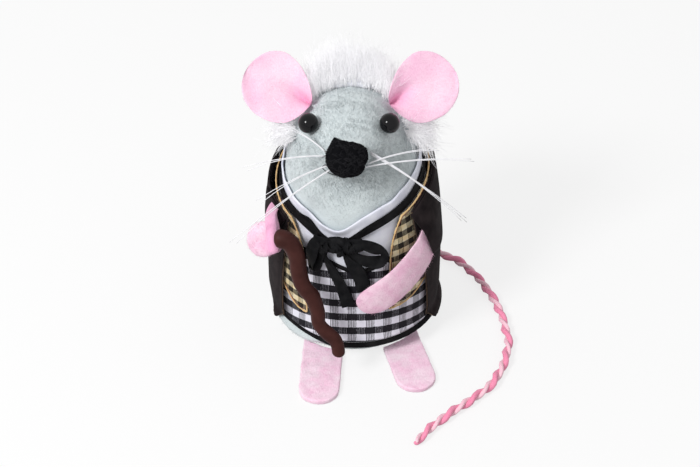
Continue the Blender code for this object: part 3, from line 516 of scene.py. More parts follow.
def signed(turn):
    """The same turn from -180 to 180."""
    return (np.asarray(turn, float) + 180.0) % 360.0 - 180.0


def neck_height(turn):
    """Height of the collar's edge, higher on the mouse's left and dipped in front."""
    dip = COLLAR_DIP * bump(signed(turn - COLLAR_DIP_TURN), COLLAR_DIP_SPREAD)
    return skin_point(NECK_STATION, turn)[..., 2] + NECK_LIFT + NECK_ROLL * np.sin(np.radians(turn)) - dip


# Mesh helpers

def add_object(name, data):
    """New object in the scene."""
    made = bpy.data.objects.new(name, data)
    bpy.context.scene.collection.objects.link(made)
    return made


def make_piece(name, points, faces, materials, loop_uv=None, marks=None):
    """Mesh object from points and lists of faces, with normals turned outward."""
    mesh = bpy.data.meshes.new(name)
    mesh.from_pydata(np.asarray(points).reshape(-1, 3).tolist(), [], faces)
    if loop_uv is not None:
        layer = mesh.uv_layers.new(name="cloth")
        layer.data.foreach_set("uv", np.asarray(loop_uv, np.float32).ravel())
    for material in materials:
        mesh.materials.append(material)
    if marks is not None:
        mesh.polygons.foreach_set("material_index", np.asarray(marks, np.int32))
    builder = bmesh.new()
    builder.from_mesh(mesh)
    bmesh.ops.recalc_face_normals(builder, faces=builder.faces)
    builder.to_mesh(mesh)
    builder.free()
    mesh.shade_smooth()
    return add_object(name, mesh)


def place_piece(piece, slot, *nodes, body="body"):
    """Say which body carries the piece and the CAD nodes it stands for, which are hidden; the finish given
    as slot is not used.
    """
    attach(piece, body)
    if nodes:
        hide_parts(*nodes)
    return piece


def quads_between(*corners):
    """Four-sided faces from the layers, rows and columns of their corners."""
    return np.stack([np.stack(np.broadcast_arrays(*corner), -1) for corner in corners], 1)


def mesh_grid(*counts):
    """Flat lists of the indices in a grid."""
    return (part.ravel() for part in np.meshgrid(*(np.arange(count) for count in counts), indexing="ij"))


def sheet_piece(name, inner, outer, uv, material, closed=False):
    """Solid sheet from its inner and outer grids of points; uv has one more column where it is closed."""
    rows, columns = inner.shape[:2]
    last, end = rows - 1, columns - 1
    r, c = mesh_grid(last, columns if closed else end)
    k = np.arange(columns if closed else end)
    quads = [quads_between((1, r, c), (1, r, c + 1), (1, r + 1, c + 1), (1, r + 1, c)),
             quads_between((0, r, c), (0, r + 1, c), (0, r + 1, c + 1), (0, r, c + 1)),
             quads_between((0, 0, k), (0, 0, k + 1), (1, 0, k + 1), (1, 0, k)),
             quads_between((1, last, k), (1, last, k + 1), (0, last, k + 1), (0, last, k))]
    if not closed:
        j = np.arange(last)
        quads.append(quads_between((1, j, 0), (1, j + 1, 0), (0, j + 1, 0), (0, j, 0)))
        quads.append(quads_between((0, j, end), (0, j + 1, end), (1, j + 1, end), (1, j, end)))
    layer, row, column = np.moveaxis(np.concatenate(quads), -1, 0)
    indices = layer * rows * columns + row * columns + column % columns
    points = np.concatenate([inner.reshape(-1, 3), outer.reshape(-1, 3)])
    return make_piece(name, points, indices.tolist(), [material], uv[row, column])


def grid(across, down):
    """Shares across and down, one row for each step down."""
    return np.meshgrid(shares(across + 1), shares(down + 1))


def tube_grid(paths, radii, sides):
    """Points round each of many paths; paths is (count, steps, 3)."""
    along = unit(np.gradient(paths, axis=1))
    ends = unit(paths[:, -1] - paths[:, 0] + 1e-9)
    helper = np.where(np.abs(ends[:, 2:3]) > 0.8, np.array([[1.0, 0.0, 0.0]]), UP[None])
    side = unit(np.cross(along, helper[:, None, :]))
    other = np.cross(along, side)
    out = around(2 * pi * np.arange(sides) / sides, side[:, :, None], other[:, :, None])
    return paths[:, :, None] + out * np.broadcast_to(radii, paths.shape[:2] + (sides,))[..., None]


def tube_faces(count, steps, sides):
    """Side faces and end faces of many closed tubes."""
    m, i, k = mesh_grid(count, steps - 1, sides)
    near = (m * steps + i) * sides
    far = near + sides
    nxt = (k + 1) % sides
    faces = np.stack([near + k, near + nxt, far + nxt, far + k], 1).tolist()
    first = np.arange(count)[:, None] * steps * sides + np.arange(sides)[None, :]
    return faces + first[:, ::-1].tolist() + (first + (steps - 1) * sides).tolist()


def tubes_piece(name, paths, radii, sides, material):
    """Piece of closed tubes along many paths."""
    points = tube_grid(paths, radii, sides)
    return make_piece(name, points, tube_faces(*points.shape[:3]), [material])


def rings_piece(name, rings, material):
    """Closed piece from rings of points, one after the other."""
    return make_piece(name, np.stack(rings), tube_faces(1, len(rings), len(rings[0])), [material])


def round_ends(steps, share, flat=0.25):
    """Share of full radius along a tube that is rounded at both ends."""
    place = shares(steps)
    from_end = np.minimum(np.minimum(place, 1.0 - place) / share, 1.0)
    return np.maximum(np.sqrt(1.0 - (1.0 - from_end) ** 2), flat)


def settled(piece):
    """Apply the piece's modifiers to its mesh."""
    bpy.context.view_layer.update()
    evaluated = piece.evaluated_get(bpy.context.evaluated_depsgraph_get())
    mesh = bpy.data.meshes.new_from_object(evaluated)
    piece.modifiers.clear()
    piece.data = mesh
    mesh.shade_smooth()
    return piece


def vectors_of(items, field):
    """One vector for each of a mesh's items."""
    flat = np.zeros(len(items) * 3)
    items.foreach_get(field, flat)
    return flat.reshape(-1, 3)


def soft_piece(name, source, voxel, rounds, unevenness, seed, material):
    """Felt piece in the shape of the source, with rounded edges and a slightly uneven surface."""
    piece = add_object(name, source.data.copy())
    weld = piece.modifiers.new("weld", "WELD")
    weld.merge_threshold = WELD_DISTANCE
    remesh = piece.modifiers.new("remesh", "REMESH")
    remesh.mode = "VOXEL"
    remesh.voxel_size = voxel
    smooth = piece.modifiers.new("smooth", "SMOOTH")
    smooth.iterations = rounds
    mesh = settled(piece).data
    points = vectors_of(mesh.vertices, "co")
    normals = vectors_of(mesh.vertex_normals, "vector")
    moved = points + normals * (unevenness * lumps(points, FELT_LUMP, seed))[:, None]
    moved[:, 2] = np.maximum(moved[:, 2], 0.0)
    mesh.vertices.foreach_set("co", moved.ravel())
    mesh.materials.clear()
    mesh.materials.append(material)
    mesh.polygons.foreach_set("material_index", np.zeros(len(mesh.polygons), np.int32))
    mesh.update()
    return piece


def fuzz(name, piece, count, length, seed, material, keep=None):
    """Short loose fibres that stand out of a felt piece."""
    rng = np.random.default_rng(seed)
    mesh = piece.data
    mesh.calc_loop_triangles()
    corners = np.zeros(len(mesh.loop_triangles) * 3, np.int32)
    mesh.loop_triangles.foreach_get("vertices", corners)
    spots = vectors_of(mesh.vertices, "co")[corners.reshape(-1, 3)]
    normals = np.cross(spots[:, 1] - spots[:, 0], spots[:, 2] - spots[:, 0])
    areas = np.linalg.norm(normals, axis=1)
    if keep is not None:
        areas = areas * keep(spots.mean(1))
    chosen = rng.choice(len(areas), count, p=areas / areas.sum())
    a, b = rng.uniform(0.0, 1.0, (2, count, 1))
    a, b = np.where(a + b > 1.0, 1.0 - a, a), np.where(a + b > 1.0, 1.0 - b, b)
    first, second, third = np.moveaxis(spots[chosen], 1, 0)
    root = first + (second - first) * a + (third - first) * b
    outward = unit(normals[chosen])
    way = unit(outward * 0.8 + rng.normal(size=(count, 3)) * 0.6)
    bend = unit(outward * 0.3 + rng.normal(size=(count, 3)))
    reach = length * rng.uniform(0.4, 1.0, (count, 1))
    share = shares(len(FIBRE_TAPER))[None, :, None]
    run = (way[:, None] * share + bend[:, None] * share ** 2 * 0.4) * reach[:, None]
    paths = root[:, None] - outward[:, None] * FIBRE_ROOT + run
    paths[..., 2] = np.maximum(paths[..., 2], FIBRE_LOWEST)
    return tubes_piece(name, paths, FIBRE_RADIUS * np.array(FIBRE_TAPER)[None, :, None], 3, material)


# Materials

class Look:
    """A procedural material and the nodes that feed its shader."""

    def __init__(self, name, roughness, **sockets):
        self.material = bpy.data.materials.new(name)
        self.material.use_nodes = True
        self.tree = self.material.node_tree
        self.shader = self.tree.nodes["Principled BSDF"]
        self.shader.inputs["Roughness"].default_value = roughness
        for socket, value in sockets.items():
            self.shader.inputs[socket.replace("_", " ")].default_value = value
        self.place = self.add("ShaderNodeTexCoord")

    def add(self, kind, inputs=None, **settings):
        """New node, with its inputs linked or set."""
        node = self.tree.nodes.new(kind)
        for key, value in settings.items():
            setattr(node, key, value)
        for key, value in (inputs or {}).items():
            if isinstance(value, bpy.types.NodeSocket):
                self.tree.links.new(value, node.inputs[key])
            else:
                node.inputs[key].default_value = value
        return node

    def math(self, operation, *values):
        """Result of one operation on numbers or sockets."""
        return self.add("ShaderNodeMath", dict(enumerate(values)), operation=operation).outputs[0]

    def noise(self, scale, detail=3.0, stretch=(1.0, 1.0, 1.0)):
        mapped = self.add("ShaderNodeMapping", {"Vector": self.place.outputs["Object"], "Scale": stretch})
        return self.add("ShaderNodeTexNoise", {"Vector": mapped.outputs[0], "Scale": scale,
                                               "Detail": detail}).outputs["Fac"]

    def blend(self, share, first, second):
        """Colour between two colours or colour sockets."""
        first, second = (c if isinstance(c, bpy.types.NodeSocket) else (*c, 1.0) for c in (first, second))
        return self.add("ShaderNodeMix", {0: share, 6: first, 7: second}, data_type="RGBA").outputs[2]

    def steep(self, value, low, high, least=0.0):
        """Value stretched so that low to high becomes least to 1."""
        inputs = {"Value": value, "From Min": low, "From Max": high, "To Min": least}
        return self.add("ShaderNodeMapRange", inputs).outputs[0]

    def tones(self, value, low, high, dark, light):
        """Colour that goes from dark to light where the value goes from low to high."""
        return self.blend(self.steep(value, low, high), dark, light)

    def colour(self, socket):
        self.tree.links.new(socket, self.shader.inputs["Base Color"])

    def relief(self, height, strength, distance):
        node = self.add("ShaderNodeBump", {"Height": height, "Strength": strength, "Distance": distance})
        self.tree.links.new(node.outputs[0], self.shader.inputs["Normal"])

    def threads(self):
        """Two directions of thread over the cloth's own coordinates, each from 0 to 1."""
        parts = self.add("ShaderNodeSeparateXYZ", {"Vector": self.place.outputs["UV"]})
        made = []
        for socket in parts.outputs[:2]:
            angle = self.math("MULTIPLY", socket, 2 * pi / THREAD_PITCH)
            made.append(self.math("MULTIPLY_ADD", self.math("SINE", angle), 0.5, 0.5))
        return *parts.outputs[:2], *made


def felt(name, light, dark, patch=130.0, painted_fold_shade=None):
    """Pressed wool: patches of tone, mixed fibres and a soft sheen; a painted shade in a deeper pink darkens
    an ear's fold near its base.
    """
    look = Look(name, 0.95, Sheen_Weight=0.25, Sheen_Roughness=0.6, Specular_IOR_Level=0.15)
    patches = look.noise(patch, 4.0)
    fibres = look.noise(2300.0, 5.0, (1.0, 0.45, 1.0))
    strands = look.noise(900.0, 6.0, (0.35, 1.0, 1.6))
    tone = look.tones(patches, 0.32, 0.68, dark, light)
    fleck = look.tones(fibres, 0.30, 0.72, tuple(c * 0.80 for c in dark), light)
    mixed = look.blend(0.35, tone, fleck)
    if painted_fold_shade:
        # Painted shade: the colour turns to the deeper pink along the middle of the fold and near the base,
        # where the fold lies in shade.
        parts = look.add("ShaderNodeSeparateXYZ", {"Vector": look.place.outputs["UV"]})
        aside = look.steep(look.math("ABSOLUTE", parts.outputs[0]), 0.0050, 0.0)
        near = look.steep(parts.outputs[1], 0.0100, 0.0005)
        mixed = look.blend(look.math("MULTIPLY", aside, near), mixed, painted_fold_shade)
    look.colour(mixed)
    look.relief(look.math("ADD", fibres, strands), 0.55, 0.00025)
    return look.material


def plain_cloth(name, light, dark, sheen=0.1, roughness=0.88, shine=0.2):
    """Plain woven cotton."""
    look = Look(name, roughness, Sheen_Weight=sheen, Specular_IOR_Level=shine)
    _, _, warp, weft = look.threads()
    weave = look.math("MULTIPLY", warp, weft)
    look.colour(look.tones(look.noise(260.0, 4.0), 0.35, 0.65, dark, light))
    look.relief(look.math("ADD", weave, look.noise(1500.0, 3.0)), 0.35, 0.00012)
    return look.material


def checked_cloth(name, light, dark, period, shift, hatch, warm=None):
    """Two-colour check: dark bands both ways, hatched by pale threads where only one of them passes."""
    look = Look(name, 0.88, Sheen_Weight=0.05, Specular_IOR_Level=0.12)
    across, down, warp, weft = look.threads()

    def ragged(scale, detail, amount):
        return look.math("MULTIPLY", look.math("SUBTRACT", look.noise(scale, detail), 0.5), amount)

    def part_of(socket, length):
        return look.math("FRACT", look.math("DIVIDE", socket, length))

    bands = []
    for socket, offset in zip((across, down), shift):
        moved = look.math("ADD", look.math("ADD", socket, ragged(700.0, 2.0, 0.0004)), offset)
        bands.append(look.math("GREATER_THAN", part_of(moved, period), 0.5))
    line = look.math("ADD", part_of(across, HATCH_PITCH), ragged(1300.0, 3.0, 0.6))
    dark_lines = look.steep(line, hatch[0], hatch[0] + 0.05)
    in_row = look.math("MULTIPLY", bands[1], look.steep(dark_lines, 0.0, 1.0, 0.60))
    pale_lines = look.steep(line, hatch[1], hatch[1] - 0.05)
    in_column = look.math("MULTIPLY", bands[0], look.math("MULTIPLY", pale_lines, 0.80))
    both = look.math("MULTIPLY", *bands)
    pattern = look.math("MAXIMUM", both, look.math("MAXIMUM", in_row, in_column))
    pale = look.tones(look.noise(300.0, 3.0), 0.3, 0.7, tuple(c * 0.88 for c in light), light)
    if warm:
        pale = look.tones(look.noise(420.0, 2.0), 0.4, 0.6, pale, warm)
    look.colour(look.blend(pattern, pale, dark))
    look.relief(look.math("ADD", look.math("MULTIPLY", warp, weft), look.noise(1600.0, 2.0)), 0.4, 0.00014)
    return look.material


def yarn(name, light, dark, stretch=(1.0, 1.0, 1.0), sheen=0.2, shine=0.2, glow=0.0):
    """Loose spun yarn: fine fibres and darker hollows; a glow is a painted glow, an emission of the yarn's
    light colour that stands in for light passed on in thin fleece.
    """
    look = Look(name, 0.9, Sheen_Weight=sheen, Specular_IOR_Level=shine, Emission_Color=(*light, 1.0),
                Emission_Strength=glow)
    fibres = look.noise(2600.0, 5.0, stretch)
    fleck = look.tones(fibres, 0.3, 0.7, dark, light)
    look.colour(look.tones(look.noise(420.0, 3.0), 0.3, 0.75, fleck, light))
    look.relief(fibres, 0.6, 0.0002)
    return look.material


def satin(name, light, dark):
    """Ribbon with fine ribs across it."""
    look = Look(name, 0.50, Specular_IOR_Level=0.03)
    weft = look.threads()[3]
    look.colour(look.tones(look.noise(340.0, 3.0), 0.3, 0.7, dark, light))
    look.relief(look.math("ADD", look.math("MULTIPLY", weft, 0.7), look.noise(1400.0, 2.0)), 0.3, 0.0001)
    return look.material


def smooth_solid(name, light, dark, roughness, grain, strength, distance, **sockets):
    """Solid stuff with slow changes of tone and a fine grain."""
    look = Look(name, roughness, **sockets)
    tone = look.noise(grain, 4.0)
    fine = look.noise(grain * 7.0, 3.0)
    look.colour(look.tones(tone, 0.3, 0.7, dark, light))
    look.relief(look.math("ADD", tone, look.math("MULTIPLY", fine, 0.35)), strength, distance)
    return look.material


GREY_LIGHT = felt("grey_fibre_light", (0.84, 0.89, 0.90), (0.74, 0.79, 0.80))
GREY_DARK = felt("grey_fibre_dark", (0.60, 0.66, 0.68), (0.49, 0.55, 0.57))
GREY_FELT = felt("grey_felt", (0.68, 0.74, 0.75), (0.55, 0.61, 0.625))
PINK_FELT = felt("pink_felt", (0.97, 0.74, 0.84), (0.89, 0.49, 0.68), 230.0)
# Painted light: the feet use a lighter copy of the pink felt, standing in for the stronger light that falls
# on them.
FOOT_FELT_PAINTED_LIGHT = felt("foot_felt", (0.99, 0.81, 0.90), (0.96, 0.59, 0.77), 210.0)
# Painted shade: a darker copy of the pink felt for the right arm's edge, which lies in the coat's shade.
PAINTED_SHADE_PINK = felt("pink_felt_painted_shade", (0.91, 0.50, 0.69), (0.84, 0.38, 0.60), 210.0)
# The last colour is the painted shade of the ear's fold.
EAR_PINK = felt("ear_felt", (0.97, 0.73, 0.84), (0.93, 0.53, 0.72), 95.0, (0.92, 0.40, 0.63))
FILL = yarn("stuffing", (0.86, 0.85, 0.82), (0.70, 0.69, 0.66))
CARD = smooth_solid("card", (0.50, 0.40, 0.27), (0.42, 0.33, 0.21), 0.9, 380.0, 0.3, 0.0002)
BEAD = smooth_solid("bead", (0.004, 0.004, 0.005), (0.002, 0.002, 0.003), 0.03, 160.0, 0.02, 0.0001,
                    Specular_IOR_Level=0.21)
BLACK_YARN = yarn("black_yarn", (0.017, 0.017, 0.019), (0.003, 0.003, 0.004), (1.0, 1.0, 0.4), 0.0, 0.03)
NOSE_BASE = yarn("nose_base", (0.006, 0.006, 0.007), (0.002, 0.002, 0.003), sheen=0.0, shine=0.02)
NYLON = smooth_solid("nylon", (0.93, 0.93, 0.95), (0.84, 0.84, 0.88), 0.32, 800.0, 0.1, 0.0001)
FLEECE_PAD = yarn("fleece_pad", (0.90, 0.90, 0.95), (0.82, 0.82, 0.88), sheen=0.3)
# Painted glow: the loose fleece strands emit a little light of their own, standing in for light scattered
# through thin white fibres.
FLEECE = yarn("fleece", (0.97, 0.965, 0.98), (0.93, 0.92, 0.95), sheen=0.3, glow=0.15)
SHIRT_CLOTH = plain_cloth("shirt_cotton", (0.86, 0.87, 0.95), (0.78, 0.79, 0.90))
GINGHAM = checked_cloth("gingham", (0.84, 0.83, 0.92), (0.012, 0.011, 0.015), GINGHAM_PERIOD,
                        GINGHAM_SHIFT, (0.13, 0.60))
CHECK = checked_cloth("waistcoat_check", (0.82, 0.74, 0.53), (0.020, 0.016, 0.012), CHECK_PERIOD,
                      CHECK_SHIFT, (0.40, 0.55), (0.76, 0.61, 0.36))
BINDING_CLOTH = plain_cloth("binding_cotton", (0.016, 0.015, 0.016), (0.007, 0.007, 0.008), 0.0, 0.88, 0.02)
COAT_CLOTH = plain_cloth("coat_wool", (0.024, 0.018, 0.019), (0.010, 0.007, 0.008), 0.03, 0.8, 0.03)
RAW_EDGE = yarn("raw_edge", (0.085, 0.055, 0.035), (0.025, 0.016, 0.012), sheen=0.05)
SATIN = satin("black_satin", (0.014, 0.014, 0.015), (0.005, 0.005, 0.006))
GOLD_CORD = yarn("gold_cord", (0.78, 0.54, 0.27), (0.48, 0.27, 0.09))
RED_THREAD = yarn("red_thread", (0.22, 0.03, 0.03), (0.10, 0.01, 0.01))
CLAY = smooth_solid("brown_clay", (0.062, 0.021, 0.018), (0.040, 0.013, 0.011), 0.50, 260.0, 0.25, 0.0003,
                    Specular_IOR_Level=0.08)
TAIL_LIGHT = yarn("tail_yarn_light", (0.98, 0.64, 0.73), (0.93, 0.48, 0.60))
TAIL_DARK = yarn("tail_yarn_dark", (0.94, 0.33, 0.49), (0.85, 0.22, 0.38))
PINK_THREAD = yarn("pink_thread", (0.78, 0.40, 0.56), (0.58, 0.26, 0.40))


# Camera, light and floor

def background_ray(tree):
    """One for the rays that show the white background, and nought for the rays that light the object."""
    path = tree.nodes.new("ShaderNodeLightPath")
    seen = path.outputs[BACKGROUND_RAYS[0]]
    for ray in BACKGROUND_RAYS[1:]:
        either = tree.nodes.new("ShaderNodeMath")
        either.operation = "MAXIMUM"
        tree.links.new(seen, either.inputs[0])
        tree.links.new(path.outputs[ray], either.inputs[1])
        seen = either.outputs[0]
    return seen


def make_stage():
    """Camera, key light, floor and world."""
    camera = add_object("camera", bpy.data.cameras.new("camera"))
    rise = radians(CAMERA_ELEVATION)
    camera.location = CAMERA_TARGET + Vector((0.0, -cos(rise), sin(rise))) * CAMERA_DISTANCE
    camera.rotation_euler = (pi / 2 - rise, 0.0, 0.0)
    camera.data.lens = CAMERA_LENS
    camera.data.clip_start = CAMERA_NEAR
    bpy.context.scene.camera = camera
    bpy.context.scene.view_settings.view_transform = "Standard"

    key = add_object("key_light", bpy.data.lights.new("key_light", "AREA"))
    key.data.energy = KEY_POWER
    key.data.size = KEY_SIZE
    key.location = CAMERA_TARGET + Vector(KEY_PLACE)
    key.rotation_euler = (-Vector(KEY_PLACE)).to_track_quat("-Z", "Y").to_euler()

    corners = [(x * FLOOR_HALF, y * FLOOR_HALF, 0.0) for x, y in ((-1, -1), (1, -1), (1, 1), (-1, 1))]
    floor = add_object("floor", bpy.data.meshes.new("floor"))
    floor.data.from_pydata(corners, [], [(0, 1, 2, 3)])
    look = Look("pale_floor", 0.9, Specular_IOR_Level=0.0)
    seen = background_ray(look.tree)
    look.colour(look.blend(seen, FLOOR_BOUNCE, FLOOR_SEEN))
    glow = look.add("ShaderNodeEmission", {"Strength": look.math("MULTIPLY", seen, FLOOR_LIFT)})
    both = look.add("ShaderNodeAddShader", {0: look.shader.outputs[0], 1: glow.outputs[0]})
    look.tree.links.new(both.outputs[0], look.tree.nodes["Material Output"].inputs["Surface"])
    floor.data.materials.append(look.material)

    world = bpy.data.worlds.new("studio")
    bpy.context.scene.world = world
    world.use_nodes = True
    tree = world.node_tree
    lit = tree.nodes["Background"]
    lit.inputs["Color"].default_value = (1.0, 1.0, 1.0, 1.0)
    strength = tree.nodes.new("ShaderNodeMapRange")
    strength.inputs["To Min"].default_value = WORLD_LIGHT
    strength.inputs["To Max"].default_value = 1.0
    tree.links.new(background_ray(tree), strength.inputs["Value"])
    tree.links.new(strength.outputs[0], lit.inputs["Strength"])


# Tail

def make_tail():
    """Two plies of yarn twisted round each other, one paler than the other."""
    route = even_path(TAIL_ROUTE, TAIL_STEPS)
    length = path_length(route)
    run = np.linspace(0.0, length, len(route))
    side, up = level_axes(unit(np.gradient(route, axis=0)))
    angle = 2 * pi * np.arange(TAIL_SIDES) / TAIL_SIDES
    out = around(angle, side[:, None], up[:, None])
    taper = mix(1.0, 0.80, smoothstep((run / length - 0.9) / 0.1)) * round_ends(len(run), 0.004, 0.3)
    fibre = 1.0 + 0.07 * np.sin(5 * angle[None, :] - 2 * pi * run[:, None] / TAIL_FIBRE_PITCH)
    points = []
    for ply, radius in enumerate(TAIL_PLY_RADII):
        phase = 2 * pi * run / TAIL_PITCH + pi * ply
        loose = 1.0 + 0.12 * waves(run / 0.012, np.zeros_like(run), 31 + ply)
        centre = route + around(phase, side, up) * (TAIL_PLY_OFFSET * loose)[:, None]
        points.append(centre[:, None] + out * (radius * taper[:, None] * fibre * loose[:, None])[..., None])
    points = np.stack(points)
    points[..., 2] = np.maximum(points[..., 2], 0.0002)
    per_ply = (len(route) - 1) * TAIL_SIDES
    marks = [0] * per_ply + [1] * per_ply + [0, 1, 0, 1]
    faces = tube_faces(*points.shape[:3])
    tail = make_piece("tail_cord", points, faces, [TAIL_LIGHT, TAIL_DARK], marks=marks)
    place_piece(tail, "tail_yarn", "tail", body="tail")


# Body

def body_lift(station, turn):
    """How far the felt stands out or is drawn in: seams, pulled threads and uneven filling."""
    point = skin_point(station, turn)
    lift = sum(height * lumps(point, size, seed) for height, size, seed in FILL_LUMPS)
    head = smoothstep((station - HEAD_START) / 0.6)
    from_front = np.abs(signed(turn))
    width = np.maximum(ring(np.asarray(station, float))[2], 0.001)
    crown = np.radians(180.0 - from_front) * width
    chin = np.radians(from_front) * width
    patchy = 0.5 + 0.5 * lumps(point, 0.0045, 6)
    ridge = SEAM_RIDGE * bump(crown, 0.0011)
    groove = SEAM_GROOVE * bump(crown - 0.0019, 0.0006)
    lift = lift + head * patchy * (ridge - groove)
    lift = lift - CHIN_GROOVE * head * smoothstep((station - CHIN_START) / 0.8) * bump(chin - 0.0004, 0.0007)
    for side in (LEFT, RIGHT):
        for dimple_station, dimple_turn, depth, spread in DIMPLES:
            spot = skin_point(dimple_station, side * dimple_turn)
            lift = lift - depth * bump(np.linalg.norm(point - spot, axis=-1), spread)
    nose = smoothstep((station - NOSE_STATION + 0.35) / 0.3)
    pulled = smoothstep((1.95 - station) / 0.5) * smoothstep((signed(turn) + 42.0) / 30.0)
    return lift * (1.0 - nose) - NOSE_SINK * nose - BASE_TUCK * pulled * smoothstep(station / 0.6)


def bag_piece(name, stations, turns, lift, material):
    """Closed bag over the body's surface, flat below."""
    station, turn = np.meshgrid(stations, turns, indexing="ij")
    points = skin(station, turn, lift(station, turn))
    tip = SNOUT_TIP + np.array([HEAD_LEAN, 0.0, 0.0])
    rows, columns = points.shape[:2]
    flat = np.concatenate([points.reshape(-1, 3), [tip, points[0].mean(0)]])
    k = np.arange(columns)
    nxt = (k + 1) % columns
    r = np.arange(rows - 1)[:, None] * columns
    faces = np.stack([r + k, r + nxt, r + columns + nxt, r + columns + k], -1).reshape(-1, 4).tolist()
    top = (rows - 1) * columns
    end = np.full(columns, rows * columns)
    faces += np.stack([top + k, top + nxt, end], 1).tolist()
    faces += np.stack([nxt, k, end + 1], 1).tolist()
    return make_piece(name, flat, faces, [material])


def make_body():
    """Felt bag with its fibres and nap, the stuffing in it and the base below."""
    snout = np.linspace(LAST_STATION, SNOUT_END, 16)[1:]
    stations = np.concatenate([np.linspace(0.0, LAST_STATION, 170), snout])
    body = bag_piece("body_felt", stations, np.arange(0.0, 360.0, 1.8), body_lift, GREY_FELT)
    place_piece(body, "grey_felt", "body_skin")
    low, high = BARE_HEIGHTS
    fibres = fuzz("body_fuzz", body, *FIBRES["body"], GREY_FELT,
                  lambda points: (points[:, 2] > high) | (points[:, 2] < low))
    place_piece(fibres, "grey_felt")
    for name, material in (("light", GREY_LIGHT), ("dark", GREY_DARK)):
        place_piece(make_nap(f"body_nap_{name}", *NAP[name], material), "grey_felt")
    fill_stations = np.concatenate([np.linspace(0.75, LAST_STATION, 60), [7.4, 7.8]])
    fill = bag_piece("stuffing_fill", fill_stations, np.arange(0.0, 360.0, 6.0),
                     lambda s, t: -FILL_DEPTH + 0.0004 * lumps(skin_point(s, t), 0.006, 8), FILL)
    place_piece(fill, "stuffing", "stuffing")
    make_base()


def make_nap(name, low, count, seed, material):
    """Fibres that lie along the felt of the head, brushed back from the nose."""
    rng = np.random.default_rng(seed)
    station = rng.uniform(low, NAP_END, count)
    turn = rng.uniform(-180.0, 180.0, count)
    normal = skin_normal(station, turn)
    back = unit(skin_point(station - 0.05, turn) - skin_point(station, turn))
    aside = np.cross(normal, back)
    lean = rng.normal(size=(count, 1)) * 0.38
    way = back * np.cos(lean) + aside * np.sin(lean)
    curl = aside * rng.normal(size=(count, 1)) * 0.22
    reach = rng.uniform(*NAP_REACH, (count, 1, 1))
    share = shares(len(NAP_TAPER))[None, :, None]
    root = skin(station, turn, body_lift(station, turn) + 0.00003)
    run = way[:, None] * share + curl[:, None] * share ** 2
    rise = 0.00010 * np.sin(pi * share) - (reach * share) ** 2 / 0.034
    paths = root[:, None] + run * reach + normal[:, None] * rise
    radii = rng.uniform(*NAP_RADII, (count, 1, 1)) * np.array(NAP_TAPER)[None, :, None]
    return tubes_piece(name, paths, radii, 3, material)


def upright_ring(reach, angle, height):
    """Points at a distance from the body's axis."""
    return np.stack(np.broadcast_arrays(reach * np.sin(angle), -reach * np.cos(angle), height), -1)


def make_base():
    """Felt disc that closes the bag, with whip stitches round its edge, over a hidden card."""
    reach = np.concatenate([np.linspace(0.0008, BASE_RADIUS * 0.97, 14), [BASE_RADIUS, BASE_RADIUS]])
    height = np.concatenate([np.full(15, 0.0), [0.0003]])
    inner = upright_ring(reach[:, None], circle(4.0), height[:, None])
    uv = np.zeros((inner.shape[0], inner.shape[1] + 1, 2))
    base = sheet_piece("base_felt", inner, inner + UP * BASE_FELT, uv, GREY_FELT, closed=True)
    place_piece(base, "grey_felt", "base_panel")
    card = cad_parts["base_card"].data.materials
    card.clear()
    card.append(CARD)
    share = shares(7)[None, :]
    height = 0.0004 + 0.0016 * share ** 3 - 0.0003 * np.sin(pi * share)
    slant = circle(7.5)[:, None] + 0.06 * share
    paths = upright_ring(mix(*BASE_STITCH_REACH, share), slant, np.maximum(height, 0.00022))
    stitches = tubes_piece("base_stitches", paths, BASE_STITCH_RADIUS, 6, GREY_FELT)
    place_piece(stitches, "grey_felt")


# Face

def make_eye(word, side):
    """Glossy bead with a flattened seat and a thread shank."""
    normal = skin_normal(EYE_STATION, side * EYE_TURN)
    seat = skin(EYE_STATION, side * EYE_TURN, GAP)
    angle = np.linspace(-0.72, pi / 2, 34)
    heights = EYE_RADIUS * (np.sin(angle) * 0.96 + 0.66)
    profile = [*EYE_SHANK, *zip(EYE_RADIUS * np.cos(angle), heights)]
    aside, up = level_axes(normal)
    out = around(circle(7.5), aside, -up)
    rings = [seat + normal * lift + out * max(reach, 0.00002) for reach, lift in profile]
    place_piece(rings_piece(f"eye_bead_{word}", rings, BEAD), "bead", f"eye_{word}")


def nose_station(turn, reach):
    """Station of a place on the nose, from its tip at reach 0 to its crooked edge at reach 1."""
    edge = np.interp(signed(turn), NOSE_EDGE_TURNS, NOSE_EDGE)
    return mix(LAST_STATION + 0.96, edge, reach ** 1.5)


def nose_pile(reach):
    """Height of the wound yarn, rounded down to nothing at the edge."""
    return NOSE_PILE * np.sqrt(np.clip((1.0 - reach) / 0.22, 0.0, 1.0))


